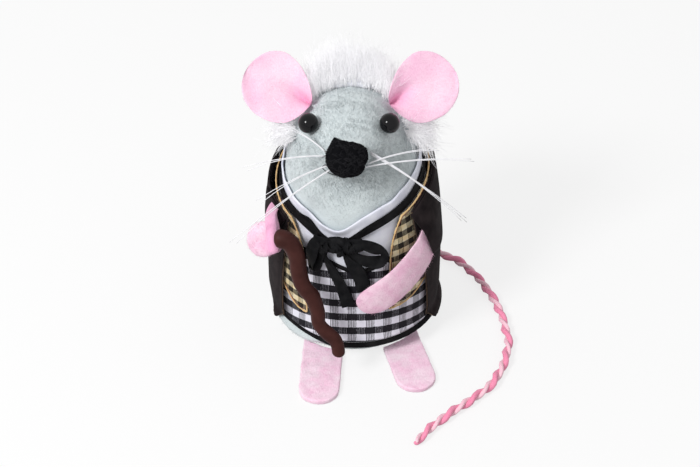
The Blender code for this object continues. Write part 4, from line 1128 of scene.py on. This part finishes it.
def make_nose():
    """Crooked patch of black yarn stitches over the tip of the snout."""
    turn, reach = np.meshgrid(np.arange(0.0, 360.0, 4.0), np.linspace(0.02, 1.0, 26))
    station = nose_station(turn, reach)
    uneven = 0.00028 * lumps(skin_point(station, turn), 0.0026, 12)
    loose = (0.0002 + uneven) * np.clip((1.0 - reach) / 0.1, 0.0, 1.0)
    outer = skin(station, turn, nose_pile(reach) + loose)
    inner = skin(station, turn, -GAP)
    uv = np.zeros((turn.shape[0], turn.shape[1] + 1, 2))
    cap = sheet_piece("nose_cap", inner, outer, uv, NOSE_BASE, closed=True)
    place_piece(cap, "yarn", "nose")
    rng = np.random.default_rng(14)
    share = np.linspace(-0.5, 0.5, 9)
    paths = []
    for _ in range(NOSE_STITCHES):
        spot = rng.uniform(-0.9, 0.9, 2)
        lean = rng.normal() * 0.8
        length = rng.uniform(0.18, 0.42)
        across = np.clip(spot[0] + share * length * cos(lean), -1.0, 1.0)
        down = np.clip(spot[1] + share * length * sin(lean), -1.0, 1.0)
        reach = np.minimum(np.hypot(across, down), 0.97)
        turn = np.degrees(np.arctan2(across, down))
        lift = nose_pile(reach) + 0.00022 - 0.0008 * (2 * share) ** 4
        paths.append(skin(nose_station(turn, reach), turn, lift))
    radii = NOSE_YARN_RADIUS * round_ends(len(share), 0.2)[None, :, None]
    place_piece(tubes_piece("nose_stitches", np.stack(paths), radii, 6, BLACK_YARN), "yarn")
    place_piece(fuzz("nose_fuzz", cap, *FIBRES["nose"], BLACK_YARN), "yarn")
    turn, reach, lift = np.array(NOSE_LOOP).T
    loop = smooth_path(skin(nose_station(turn, reach), turn, lift), 24)
    place_piece(tubes_piece("nose_thread", loop[None], NOSE_YARN_RADIUS, 6, BEAD), "yarn")


def make_whiskers(word, side):
    """Pairs of clear nylon strands that leave one root and part a little."""
    share = shares(18)
    sag = UP * (4 * WHISKER_SAG * share * (1.0 - share))[:, None]
    radii = WHISKER_RADIUS * mix(1.0, 0.55, share)[None, :, None]
    for i, length in enumerate(WHISKER_LENGTHS[side]):
        root = skin(WHISKER_STATION, side * WHISKER_ROOT_TURNS[side][i], 0.0)
        rise = radians(WHISKER_RISES[side][i])
        lean = radians(WHISKER_LEANS[side][i])
        outward = np.array([side * cos(lean) * cos(rise), -sin(lean) * cos(rise), sin(rise)])
        aside = unit(np.cross(outward, np.array([0.0, 1.0, 0.2])))
        paths = []
        for part, shorter in ((-1, 0.0), (1, 0.03)):
            spread = aside * (part * (0.00012 + WHISKER_SPREAD[side] * share ** 3))[:, None]
            paths.append(root + outward * (length * share * (1.0 - shorter))[:, None] + sag + spread)
        strand = tubes_piece(f"whisker_strand_{word}_{i + 1}", np.stack(paths), radii, 6, NYLON)
        place_piece(strand, "nylon", f"whisker_{word}_{i + 1}")


def ear_frame(side):
    """Seat of an ear, with its directions to the tip, along the seam and to the front."""
    tilt = radians(EAR_TILT)
    spread = radians(EAR_SPREAD)
    to_tip = np.array([side * cos(spread), sin(tilt) * sin(spread), cos(tilt) * sin(spread)])
    facing = np.array([0.0, -cos(tilt), sin(tilt)])
    return skin(EAR_STATION, side * EAR_TURN, 2 * GAP), to_tip, np.cross(facing, to_tip), facing


def ear_half_width(distance, inner_side):
    """Half width from the base to the tip; the inner side runs out straighter than the outer."""
    round_half = np.sqrt(np.maximum(EAR_RADIUS ** 2 - (distance - EAR_STALK) ** 2, 1e-12))
    run, power = np.where(inner_side, 0.0135, 0.0072), np.where(inner_side, 0.8, 0.7)
    taper = mix(EAR_BASE_HALF * 0.5, EAR_RADIUS * 1.18, np.minimum(distance / run, 1.6) ** power)
    near_base = np.where(distance < EAR_STALK, EAR_RADIUS, round_half)
    return (taper ** -4.0 + near_base ** -4.0) ** -0.25 * np.where(inner_side, 1.05, 0.97)


def make_ear(word, side):
    """Round felt ear, cupped and pinched into a fold where it is sewn on."""
    base, to_tip, seam, facing = ear_frame(side)
    length = EAR_STALK + EAR_RADIUS
    u, v = grid(44, 54)
    distance = length * np.where(v > 0.5, np.sin(v * pi / 2), v * sin(pi / 4) / 0.5)
    across = np.sin((2.0 * u - 1.0) * pi / 2)
    inner_side = across * side > 0
    from_fold = across - EAR_FOLD_PLACE * side
    curl = EAR_CUP * across ** 2 * (1.0 - 0.6 * distance / length) * np.where(inner_side, 0.5, 1.0)
    near = bump(distance - 0.0015, 0.0070)
    fold = -EAR_FOLD * near * bump(from_fold, 0.22) + 0.0012 * near * np.abs(across)
    soft = 0.00030 * waves(across, distance / 0.012, 40 + side)
    edge = np.minimum((1.0 - np.abs(across)) / 0.10, (1.0 - v) / 0.05)
    thick = facing * (EAR_FELT * mix(0.35, 1.0, np.sqrt(np.clip(edge, 0.0, 1.0))) / 2)[..., None]
    half = ear_half_width(distance, inner_side) * (1.0 + 0.02 * waves(distance / 0.008, 0 * u, 44 + side))
    flat = (base + to_tip * distance[..., None] + seam * (half * across)[..., None]
            + facing * (curl + fold + soft)[..., None])
    uv = np.stack([from_fold * np.minimum(half, 0.008), distance], -1)
    ear = sheet_piece(f"ear_felt_{word}", flat - thick, flat + thick, uv, EAR_PINK)
    body = f"{word}_ear"
    place_piece(ear, "pink_felt", f"ear_{word}", body=body)
    place_piece(fuzz(f"ear_fuzz_{word}", ear, *FIBRES[body], PINK_FELT), "pink_felt", body=body)


def hair_pad():
    """Lumpy pad of fleece; gives its inner and outer points, and how near each is to the crown."""
    u, v = grid(HAIR_COLUMNS, HAIR_ROWS)
    turn = mix(HAIR_TURN, 360.0 - HAIR_TURN, u)
    between = 1.0 - smoothstep((np.abs(turn - 180.0) - HAIR_PARTING / 2) / HAIR_PARTING)
    side_top = np.where(turn < 180.0, HAIR_SIDE_STATION[LEFT], HAIR_SIDE_STATION[RIGHT])
    start = station_at(turn, neck_height(turn) + COLLAR_RIM)
    station = mix(mix(side_top, HAIR_TOP_STATION, between), start, v)
    swell = np.sqrt(np.maximum(np.sin(pi * u) * np.sin(pi * v), 0.0))
    depth = HAIR_EDGE + (HAIR_DEPTH + HAIR_CROWN * between * (1.0 - v)) * swell
    depth = depth * (0.86 + 0.16 * lumps(skin_point(station, turn), 0.007, 51))
    inner = skin(station, turn, GAP)
    outer = skin(station, turn, depth)
    pad = sheet_piece("hair_pad", inner, outer, np.stack([u, v], -1), FLEECE_PAD)
    place_piece(pad, "fleece", "hair")
    return inner, outer, between * (1.0 - v)


def pad_tufts(inner, outer, crown, rng):
    """Tufts of fleece that curl out of the pad, falling at the sides and standing on the crown."""
    row = rng.uniform(0.02, 0.95, HAIR_TUFTS)
    column = rng.uniform(0.03, 0.97, HAIR_TUFTS)
    at = (np.round(row * HAIR_ROWS).astype(int), np.round(column * HAIR_COLUMNS).astype(int))
    root = outer[at] * 0.7 + inner[at] * 0.3
    normal = unit(outer[at] - inner[at])
    crown = crown[at][:, None]
    fall = np.array(SIDE_FALL) * (1.0 - crown) + np.array(TOP_FALL) * crown
    share = shares(len(HAIR_TAPER))[:, None]
    paths = []
    for i in range(HAIR_TUFTS):
        reach = rng.uniform(*HAIR_REACH) * (1.0 + 0.45 * crown[i, 0])
        way = unit(normal[i] + fall[i] * 0.8 + rng.normal(size=3) * 0.25)
        sideways = unit(np.cross(way, rng.normal(size=3)))
        for _ in range(HAIR_STRANDS):
            spot = root[i] + rng.normal(size=3) * 0.0007
            curl = sideways * rng.normal() * 0.35 + rng.normal(size=3) * 0.22
            bend = way + fall[i] * share * 0.5 + curl * share ** 1.5
            paths.append(spot + bend * share * reach * rng.uniform(0.6, 1.1))
    return paths


def make_hair():
    """Soft white fleece behind the head: a pad under many loose strands, which stay above the collar."""
    rng = np.random.default_rng(52)
    paths = pad_tufts(*hair_pad(), rng)
    for _, side in SIDES:
        turns = [side * turn for turn in LOCK_TURNS[side]]
        paths += locks(LOCK_TUFTS[side], turns, LOCK_STATIONS, LOCK_REACH[side], LOCK_FALL, rng)
    paths += locks(CROWN_TUFTS, CROWN_TURNS, CROWN_STATIONS, CROWN_REACH, CROWN_FALL, rng)
    paths = np.stack(paths)
    height = paths[..., 2]
    lowest = collar_top(np.degrees(np.arctan2(paths[..., 0], -paths[..., 1]))) + GAP
    paths[..., 2] = np.where(height < lowest, lowest + (lowest - height) * 0.2, height)
    radii = HAIR_RADIUS * np.array(HAIR_TAPER)[None, :, None]
    place_piece(tubes_piece("hair_strands", paths, radii, 3, FLEECE), "fleece")


def locks(count, turns, stations, length, fall, rng):
    """Tufts of loose fleece over one stretch of the head."""
    share = shares(len(HAIR_TAPER))[:, None]
    fall = np.array(fall)
    paths = []
    for _ in range(count):
        turn = rng.uniform(min(turns), max(turns))
        station = rng.uniform(*stations)
        root = skin(station, turn, rng.uniform(0.0006, 0.0030))
        way = unit(skin_normal(station, turn) * 0.9 + fall * 0.6 + rng.normal(size=3) * 0.3)
        reach = length * rng.uniform(0.5, 1.0)
        for _ in range(HAIR_STRANDS):
            spot = root + rng.normal(size=3) * 0.0006
            curl = rng.normal(size=3) * 0.35
            bend = way + fall * share * 0.8 + curl * share ** 1.5
            paths.append(spot + bend * share * reach * rng.uniform(0.6, 1.1))
    return paths


# Clothes

def cloth_piece(name, turn, height, lift, thick, uv, material, closed=False):
    """Sheet of cloth round the body, from the turns, heights and lifts of its inner face."""
    station = station_at(turn, height)
    inner, outer = skin(station, turn, lift), skin(station, turn, lift + thick)
    return sheet_piece(name, inner, outer, uv, material, closed)


def band_piece(name, top, bottom, lift, thick, rows, material, girth, droop=0.0):
    """Closed ring of cloth; top, bottom and lift are functions of the turn, and its threads may droop."""
    turn = np.arange(0.0, 360.0, 360.0 / BAND_COLUMNS)[None, :]
    v = shares(rows + 1)[:, None]
    height = mix(top(turn), bottom(turn), v)
    turn, v = np.broadcast_arrays(turn, v)
    wide = girth * shares(BAND_COLUMNS + 1)[None, :] + 0.0 * v[:, :1]
    down = height + droop * np.minimum(np.abs(signed(turn)) / 50.0, 1.2) ** 1.5
    down = np.concatenate([down, down[:, :1]], 1)
    uv = np.stack([wide, down], -1)
    return cloth_piece(name, turn, height, lift(turn, v), thick, uv, material, closed=True)


def level(height):
    """Edge of a band at one height."""
    return lambda turn: height + 0.0 * turn


def waist(step):
    """Upper edge of the trousers, which sags under the bow."""
    return lambda turn: TROUSER_TOP + step - WAIST_SAG * bump(signed(turn) - 3.0, 20.0)


def hem(step):
    """Lower edge of the trousers, pulled up on the mouse's right."""
    return lambda turn: TROUSER_BOTTOM + step + HEM_PULL * smoothstep((-signed(turn) - 12.0) / 40.0)


def below_neck(drop):
    """Edge of a band that follows the neck line."""
    return lambda turn: neck_height(turn) - drop


def collar_top(turn):
    """Slightly wavy edge of the stand collar."""
    front = np.radians(signed(turn))
    return neck_height(turn) + 0.00020 * np.sin(front * 9.0) + 0.00014 * np.sin(front * 17.0 + 1.0)


def collar_lift(turn, v):
    """Lift of the shirt, which puffs out along its rim."""
    rim = 1.0 - smoothstep(v / 0.16)
    puff = 0.0006 + 0.0006 * bump(signed(turn) + 18.0, 12.0)
    return SHIRT[0] + rim * puff + 0.00006 * np.sin(np.radians(turn) * 23.0)


def small_folds(base, amount, seed):
    """Lift of a cloth with low soft folds."""
    return lambda turn, v: base + amount * (1.0 + waves(turn / 40.0, v * 1.2, seed))


def make_under_clothes():
    """Shirt, trousers with their bindings, and the ribbon round the neck."""
    girth = 2 * pi * SHIRT_ROUND
    shirt = band_piece("shirt_cloth", collar_top, level(SHIRT_BOTTOM), collar_lift, SHIRT[1], 40,
                       SHIRT_CLOTH, girth)
    place_piece(shirt, "shirt", "shirt")
    trousers = band_piece("trouser_cloth", waist(0.0), hem(0.0), small_folds(TROUSERS[0], 0.00008, 61),
                          TROUSERS[1], 44, GINGHAM, GINGHAM_COLUMNS * GINGHAM_PERIOD, GINGHAM_DROOP)
    place_piece(trousers, "gingham", "trousers")
    step = BINDING_WIDTH + GAP
    for name, top, low in (("waist_binding", waist(step), waist(GAP)),
                           ("hem_binding", hem(-GAP), hem(-step))):
        fold = band_piece(f"{name}_tape", top, low, rolled(TROUSERS[0]), BINDING_THICK, 10, BINDING_CLOTH,
                          girth)
        place_piece(fold, "binding", name)
    ribbon = band_piece("neck_ribbon_satin", ribbon_top, below_neck(RIBBON_EDGES[1]),
                        small_folds(RIBBON[0], 0.00012, 62), RIBBON[1], 12, SATIN, girth)
    place_piece(ribbon, "satin", "neck_ribbon")


def ribbon_top(turn):
    """Upper edge of the ribbon, which rides up over the collar beside the bow."""
    front = signed(turn)
    edge = neck_height(turn) - RIBBON_EDGES[0]
    return edge + 0.0016 * bump(front + 36.0, 7.0) - 0.0009 * bump(front + 10.0, 14.0)


def rolled(base):
    """Lift of a narrow folded tape, fullest along its middle."""
    return lambda turn, v: base + 0.00020 * np.sin(pi * v) + 0.00004 * np.sin(np.radians(turn) * 60.0)


def waistcoat_edges(side, u, v):
    """Turn and height of a place on one waistcoat front."""
    front = mix(WAISTCOAT_FRONT_TURN[side], WAISTCOAT_NECK_TURN[side], np.exp(-v / 0.17))
    turn = mix(front, WAISTCOAT_SIDE_TURN, u)
    top = neck_height(side * turn) - RIBBON_EDGES[1]
    sweep = (turn - WAISTCOAT_FRONT_TURN[side]) / (WAISTCOAT_SWEEP_TURN - WAISTCOAT_FRONT_TURN[side])
    bottom = mix(WAISTCOAT_POINT_HEIGHT[side], WAISTCOAT_SIDE_BOTTOM, smoothstep(sweep) ** 1.5)
    return turn, mix(top, bottom, v)


def waistcoat_border(side):
    """Turns and heights along the neck, the front and the lower edge of one waistcoat front."""
    line = shares(90)
    behind = mix(GOLD_BACK_TURN, WAISTCOAT_SIDE_TURN, line[:-1:3])
    keys = [(behind, neck_height(side * behind) - RIBBON_EDGES[1]),
            waistcoat_edges(side, line[::-1], 0.0 * line), waistcoat_edges(side, 0.0 * line, line),
            waistcoat_edges(side, line, 0.0 * line + 1.0)]
    return (np.concatenate(part) for part in zip(*keys))


def make_waistcoat(word, side):
    """Front of the waistcoat, with a gold cord along its edge and a red thread inside that."""
    u, v = grid(60, 56)
    turn, height = waistcoat_edges(side, u, v)
    lift = WAISTCOAT[0] + 0.00012 * (1.0 + waves(u * 2.0, v * 1.5, 70 + side))
    uv = np.stack([side * np.radians(turn) * WAISTCOAT_ROUND, height], -1)
    front = cloth_piece(f"waistcoat_cloth_{word}", side * turn, height, lift, WAISTCOAT[1], uv, CHECK)
    place_piece(front, "check", f"waistcoat_{word}")
    turns, heights = waistcoat_border(side)
    spot = shares(TRIM_STEPS + 1)
    twist = 1.0 + 0.16 * np.sin(spot * TRIM_STEPS) + 0.3 * waves(spot * 30.0, 0.0, 75)
    for name, lift_step, inset, radius, material in (("gold_edge", 0.00062, 0.0001, 0.00028, GOLD_CORD),
                                                     ("red_line", 0.00052, 0.0009, 0.00016, RED_THREAD)):
        shrink = inset / 0.03
        turn_in = turns + (TRIM_MIDDLE[0] - turns) * shrink
        height_in = heights + (TRIM_MIDDLE[1] - heights) * shrink * 1.5
        edge = wrap(side * turn_in, height_in, WAISTCOAT[0] + lift_step)
        path = even_path(edge[::3], TRIM_STEPS)[None]
        cord = tubes_piece(f"waistcoat_{name}_{word}", path, radius * twist[None, :, None], 7, material)
        place_piece(cord, "check")


def coat_puff(turn, height):
    """How far the coat stands off at the shoulders."""
    from_front = np.abs(signed(turn))
    start, full = COAT_PUFF_TURNS
    fade, end = COAT_PUFF_END
    low, high = COAT_PUFF_HEIGHTS
    at_side = smoothstep((from_front - start) / (full - start))
    at_side = at_side * smoothstep((end - from_front) / (end - fade))
    puff = np.where(signed(turn) > 0.0, COAT_PUFF[LEFT], COAT_PUFF[RIGHT])
    return puff * at_side * smoothstep((height - low) / (high - low))


def coat_place(u, v):
    """Turn, height and lift of a place on the coat."""
    edge = {side: mix(COAT_CHEST_TURN[side], COAT_HEM_TURN[side], smoothstep(v)) for side in (LEFT, RIGHT)}
    turn = mix(edge[LEFT], 360.0 - edge[RIGHT], u)
    from_front = np.minimum(turn - COAT_HEM_TURN[LEFT], 360.0 - COAT_HEM_TURN[RIGHT] - turn)
    corner = COAT_CORNER_RISE * (1.0 - smoothstep(from_front / COAT_CORNER_TURN))
    top = neck_height(turn) - RIBBON_EDGES[1] - COAT_NECK_DROP
    scallop = COAT_SCALLOP * bump(360.0 - COAT_HEM_TURN[RIGHT] - turn - SCALLOP_TURN, SCALLOP_SPREAD)
    height = mix(top, COAT_HEM + corner + scallop, v)
    folds = 0.00014 * v * (1.0 + np.sin(np.radians(turn) * 7.0 + 0.6) + 0.5 * waves(turn / 50.0, v, 81))
    edge_roll = 0.0007 * np.maximum(bump(u, 0.012), bump(1.0 - u, 0.012))
    straight = COAT_STRAIGHT * smoothstep((COAT_STRAIGHT_BELOW - height) / 0.009)
    return turn, height, COAT[0] + coat_puff(turn, height) + folds + edge_roll - straight


def shoulder(side):
    """Where an arm is sewn on, and the direction out from there."""
    turn = side * ARM_TURN
    outward = Vector((sin(radians(turn)), -cos(radians(turn)), 0.0))
    return Vector(wrap(turn, ARM_HEIGHT, 0.0)), outward


def armhole_cutter(side):
    """Scratch cylinder that cuts the coat open for an arm."""
    foot, outward = shoulder(side)
    builder = bmesh.new()
    bmesh.ops.create_cone(builder, cap_ends=True, segments=48, radius1=ARMHOLE_RADIUS[side],
                          radius2=ARMHOLE_RADIUS[side], depth=ARMHOLE_LENGTH)
    turn_to = Vector(UP).rotation_difference(outward).to_matrix().to_4x4()
    bmesh.ops.transform(builder, matrix=turn_to, verts=builder.verts)
    bmesh.ops.translate(builder, verts=builder.verts, vec=foot + outward * ARMHOLE_OUT)
    mesh = bpy.data.meshes.new("cutter")
    builder.to_mesh(mesh)
    builder.free()
    return add_object("cutter", mesh)


def make_coat():
    """Open coat with armholes, soft folds to the hem and a raw edge in front and below."""
    u, v = grid(200, 70)
    turn, height, lift = coat_place(u, v)
    uv = np.stack([np.radians(turn) * COAT_ROUND, height], -1)
    coat = cloth_piece("coat_cloth", turn, height, lift, COAT[1], uv, COAT_CLOTH)
    cutters = [armhole_cutter(side) for _, side in SIDES]
    for cutter in cutters:
        boolean = coat.modifiers.new("armhole", "BOOLEAN")
        boolean.operation = "DIFFERENCE"
        boolean.solver = "EXACT"
        boolean.object = cutter
    settled(coat)
    for cutter in cutters:
        bpy.data.objects.remove(cutter, do_unlink=True)
    place_piece(coat, "coat", "coat")
    pieces = [make_raw_edge()] + [make_cap(word, side) for word, side in SIDES]


def make_raw_edge():
    """Frayed edge down both fronts of the coat and along its hem."""
    line = shares(160)
    border_u = np.concatenate([0.0 * line, line, 0.0 * line + 1.0])
    border_v = np.concatenate([line, 0.0 * line + 1.0, line[::-1]])
    turn, height, lift = coat_place(border_u, border_v)
    path = even_path(wrap(turn, height, lift + COAT[1] * 0.5)[::3], COAT_EDGE_STEPS)
    frayed = np.clip(1.0 + 0.22 * np.random.default_rng(82).normal(size=len(path)), 0.6, 1.5)
    edge = tubes_piece("coat_raw_edge", path[None], COAT_EDGE_RADIUS * frayed[None, :, None], 6, RAW_EDGE)
    return place_piece(edge, "coat")


def make_cap(word, side):
    """Flap of the coat that hangs from the shoulder over the root of the arm."""
    u, v = grid(50, 26)
    start, low_start, end = CAP_TURNS[side]
    turn = mix(mix(start, low_start, v), end, u)
    full = side * turn
    top = neck_height(full) - RIBBON_EDGES[1] - COAT_NECK_DROP - CAP_DROP
    low = mix(CAP_LOW[side], top - CAP_END_LENGTH, smoothstep((u - 0.45) / 0.55))
    height = mix(top, low, v)
    stand = CAP_STAND[side] * smoothstep(v * 2.0) * (1.0 - smoothstep(u / CAP_STAND_SHARE)) + CAP_CLEAR
    lift = COAT[0] + COAT[1] + coat_puff(full, height) + stand
    uv = np.stack([np.radians(turn) * COAT_ROUND, height], -1)
    cap = cloth_piece(f"coat_cap_{word}", full, height, lift, COAT[1], uv, COAT_CLOTH)
    return place_piece(cap, "coat")


# Bow

def bow_frame():
    """Seat of the bow, with its sideways, upward and outward directions."""
    height = float(neck_height(BOW_TURN)) - COLLAR_RIM - RIBBON_WIDTH / 2
    outward = skin_normal(station_at(BOW_TURN, height), BOW_TURN)
    aside, upward = level_axes(outward)
    return wrap(BOW_TURN, height, RIBBON[0] + RIBBON[1] + BOW_GAP), -aside, upward, outward


def bow_ribbon(name, keys, half_widths, roll, seed):
    """Ribbon along a line in the bow's own frame; roll turns its width out of the plane of the bow."""
    seat, sideways, upward, outward = bow_frame()
    line = even_path(np.array(keys) * MILLIMETRE, 70)
    place = shares(len(line))[:, None]
    v = np.linspace(-1.0, 1.0, 15)[None, :]
    along = unit(np.gradient(line[:, :2], axis=0))
    half = half_widths(place)
    flat = np.cos(roll(place))
    aside = line[:, :1] - along[:, 1:] * half * flat * v
    up = line[:, 1:2] + along[:, :1] * half * flat * v
    crease = 0.00025 * np.cos(7.0 * v + seed) * (1.0 - np.minimum(half / (RIBBON_WIDTH / 2), 1.0))
    out = line[:, 2:] + half * np.sin(roll(place)) * v + crease + 0.00014 * waves(place * 3.0, v * 0.6, seed)
    out = out - aside ** 2 / (2 * BOW_BACK_RADIUS)
    across = seat + sideways * aside[..., None] + upward * up[..., None]
    inner, outer = (across + outward * (out + step)[..., None] for step in (0.0, RIBBON[1]))
    uv = np.stack([0.0 * place + v * RIBBON_WIDTH / 2, place * 0.03 + 0.0 * v], -1)
    return sheet_piece(name, inner, outer, uv, SATIN)


def make_bow():
    """Knot and gathers in the middle, with a loop and a tail to each side."""
    make_knot()
    make_gathers()
    full = RIBBON_WIDTH / 2
    for word, side in SIDES:
        loop = bow_ribbon(f"bow_loop_satin_{word}", BOW_LOOPS[side],
                          lambda place: full * mix(0.50, 0.95, np.sin(pi * place) ** 0.7),
                          lambda place: 0.9 * bump(place - 0.55, 0.14), 90 + side)
        place_piece(loop, "satin", f"bow_loop_{word}")
        tail = bow_ribbon(f"bow_tail_satin_{word}", BOW_TAILS[side],
                          lambda place: full * mix(0.36, 0.95, smoothstep((place - 0.12) / 0.38)),
                          lambda place: 0.25 * np.sin(5.0 * place + side), 94 + side)
        place_piece(tail, "satin", f"bow_tail_{word}")


def make_knot():
    """Ribbon drawn into a knot, with pleats down its front."""
    seat, sideways, upward, outward = bow_frame()
    half_width, half_height, half_depth = KNOT_HALF
    turns = circle(6.0)
    rings = []
    for lean in np.linspace(-pi / 2 + 0.03, pi / 2 - 0.03, 30):
        x = np.cos(lean) * np.cos(turns)
        z = np.cos(lean) * np.sin(turns)
        y = np.full(len(turns), np.sin(lean))
        pleat = 1.0 + 0.10 * np.sin(turns * 5.0 + 3.0 * y) + 0.06 * np.sin(turns * 9.0 - 4.0 * y)
        flat = seat + sideways * (x * half_width * pleat)[:, None] + upward * (y * half_height)[:, None]
        rings.append(flat + outward * (half_depth / 2 * (1.0 + z * pleat))[:, None])
    place_piece(rings_piece("bow_knot_satin", rings, SATIN), "satin", "bow_knot")


def make_gathers():
    """Short folds of ribbon bunched over the knot."""
    rng = np.random.default_rng(97)
    for i in range(GATHERS):
        across = mix(*GATHER_SPAN, i / (GATHERS - 1))
        up = rng.uniform(-1.8, 1.2)
        lean = rng.normal() * 0.5 + pi / 2
        half = rng.uniform(2.0, 3.2)
        keys = []
        for share in (-1.0, -0.4, 0.3, 1.0):
            out = 3.0 + rng.uniform(0.0, 1.2) - 2.0 * share ** 2
            keys.append((across + share * half * cos(lean), up + share * half * sin(lean), out))
        gather = bow_ribbon(f"bow_gather_{i + 1}", keys,
                            lambda place: GATHER_HALF_WIDTH * np.sin(pi * mix(0.15, 0.85, place)),
                            lambda place: 0.5 * np.cos(4.0 * place), 98 + i)
        place_piece(gather, "satin")


# Arms, stick and feet

def felt_band(name, centre, normal, half, ends, material, under=ARM_FELT / 2):
    """Flat padded strip of felt along a line, rounded over the given shares of its length at both ends."""
    aside = unit(np.cross(normal, np.gradient(centre, axis=0)))
    share = shares(len(centre))
    from_end = np.minimum(np.minimum(share / ends[0], (1.0 - share) / ends[1]), 1.0)
    half = half * np.maximum(np.sqrt(1.0 - (1.0 - from_end) ** 2), 0.12)
    v = np.sin(np.linspace(-1.0, 1.0, 33) * pi / 2)[None, :]
    edge = np.sqrt(np.clip(1.0 - np.abs(v) ** 3.0, 0.0, 1.0)) * np.sqrt(np.maximum(from_end, 0.0))[:, None]
    flat = centre[:, None] + aside[:, None] * (half[:, None] * v)[..., None]
    uneven = 0.00014 * lumps(flat, 0.005, 101)
    low = flat - normal[:, None] * (np.reshape(under, (-1, 1)) * edge)[..., None]
    crown = ARM_FELT * 0.5 * edge + 0.0006 * edge * (1.0 - v ** 2) + uneven
    high = flat + normal[:, None] * crown[..., None]
    uv = np.stack([half[:, None] * v, 0.05 * share[:, None] + 0.0 * v], -1)
    return sheet_piece(name, low, high, uv, material)


def make_arm_left():
    """Flat padded arm across the belly, from under the coat to its round hand."""
    keys = np.stack([ARM_TURN - np.array(ARM_LEFT_BACK), ARM_HEIGHT + np.array(ARM_LEFT_RISES),
                     np.array(ARM_LEFT_LIFTS)], -1)
    line = smooth_path(keys, 90)
    normal = skin_normal(station_at(line[:, 0], line[:, 1]), line[:, 0])
    share = shares(len(line))
    uneven = 1.0 + 0.03 * waves(share * 6.0, 0.0 * share, 102)
    half = np.interp(share, ARM_LEFT_SHARES, ARM_LEFT_HALVES) * uneven
    return felt_band("arm_felt_left", wrap(*line.T), normal, half, (0.10, 0.17), PINK_FELT)


def nearer(points, distance):
    """Points moved towards the camera along their lines of sight, so they stay put in the picture."""
    rise = radians(CAMERA_ELEVATION)
    eye = np.array(CAMERA_TARGET) + CAMERA_DISTANCE * np.array([0.0, -cos(rise), sin(rise)])
    return points + unit(eye - points) * distance


def make_arm_right():
    """Arm that leaves the coat, its front edge turned to the viewer in a darker pink of painted shade, and a
    round padded hand behind it.
    """
    turns = circle(15.0)
    place = nearer(np.array(HAND_PLACE), ARM_REACH)
    forward = unit(np.array(HAND_FACING))
    aside, up = level_axes(forward)
    half_width, half_height, half_depth = HAND_HALF
    spread = aside * np.cos(turns)[:, None] * half_width + up * np.sin(turns)[:, None] * half_height
    rings = []
    for lean in np.radians(np.arange(-88.0, 89.0, 8.0)):
        rings.append(place + spread * cos(lean) + forward * (half_depth * sin(lean)))
    hand = rings_piece("hand", rings, PINK_FELT)
    arm = soft_piece("arm_felt_right", hand, *HAND_SOFT, 99, PINK_FELT)
    bpy.data.objects.remove(hand, do_unlink=True)
    centre = wrap(*smooth_path(ARM_RIGHT_EDGE, 60).T)
    share = shares(len(centre))
    centre = nearer(centre, ARM_REACH * smoothstep(share / 0.6)[:, None])
    under = mix(ARM_FELT / 2, ARM_RIGHT_DEPTH, smoothstep((share - 0.1) / 0.5))
    facing = np.broadcast_to(unit(np.array(ARM_RIGHT_FACING)), centre.shape)
    half = np.full(len(centre), ARM_RIGHT_HALF)
    # The edge band wears the darker pink felt, painted shade.
    band = felt_band("arm_edge_right", centre, facing, half, (0.06, 0.08), PAINTED_SHADE_PINK, under)
    place_piece(band, "pink_felt", body="right_arm")
    return arm


def make_limbs():
    """Arms with their stitches and the stick, and the feet."""
    arms = {LEFT: make_arm_left(), RIGHT: make_arm_right()}
    for word, side in SIDES:
        body = f"{word}_arm"
        arm = place_piece(arms[side], "pink_felt", f"arm_{word}", body=body)
        fibres = fuzz(f"arm_fuzz_{word}", arm, *FIBRES[body], PINK_FELT)
        place_piece(fibres, "pink_felt", body=body)
        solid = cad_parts[f"foot_{word}"]
        # The feet take the lighter pink felt, which is painted light.
        foot = soft_piece(f"foot_felt_{word}", solid, *FOOT_SOFT, 106 + side, FOOT_FELT_PAINTED_LIGHT)
        place_piece(foot, "pink_felt", f"foot_{word}")
        fibres = fuzz(f"foot_fuzz_{word}", foot, *FIBRES[f"{word}_foot"], FOOT_FELT_PAINTED_LIGHT)
        place_piece(fibres, "pink_felt")
        make_stitch(word, side)
    make_stick()


def make_stitch(word, side):
    """Crossed threads that hold the arm, on a shank through the felt."""
    foot, outward = (np.array(part) for part in shoulder(side))
    aside, up = level_axes(outward)
    share = shares(15)
    arch = STITCH_LIFT[side] + 0.0005 * np.sin(pi * share)
    paths = []
    for angle in STITCH_ANGLES:
        way = aside * cos(angle) + up * sin(angle)
        paths.append(foot + way * (STITCH_LENGTH * (share - 0.5))[:, None] + outward * arch[:, None])
    paths.append(foot + outward * mix(STITCH_START, STITCH_LIFT[side], share)[:, None])
    stitch = tubes_piece(f"shoulder_thread_{word}", np.stack(paths), STITCH_RADIUS, 8, PINK_THREAD)
    place_piece(stitch, "thread", f"shoulder_stitch_{word}")


def make_stick():
    """Crooked stick rolled by hand from brown modelling clay."""
    path = even_path(STICK_ROUTE, 130)[None]
    share = shares(path.shape[1])
    radii = mix(*STICK_RADII, share) * round_ends(len(share), 0.035, 0.2)
    points = tube_grid(path, radii[None, :, None], STICK_SIDES)
    centre = path[:, :, None]
    dents = 1.0 + 0.08 * lumps(points, 0.010, 120) + 0.025 * lumps(points, 0.004, 121)
    points = centre + (points - centre) * dents[..., None]
    stick = rings_piece("stick_clay", points[0], CLAY)
    place_piece(stick, "clay", "walking_stick", body="right_arm")


make_stage()
make_tail()
make_body()
make_nose()
make_hair()
make_under_clothes()
make_coat()
make_bow()
for word, side in SIDES:
    make_eye(word, side)
    make_whiskers(word, side)
    make_ear(word, side)
    make_waistcoat(word, side)
make_limbs()
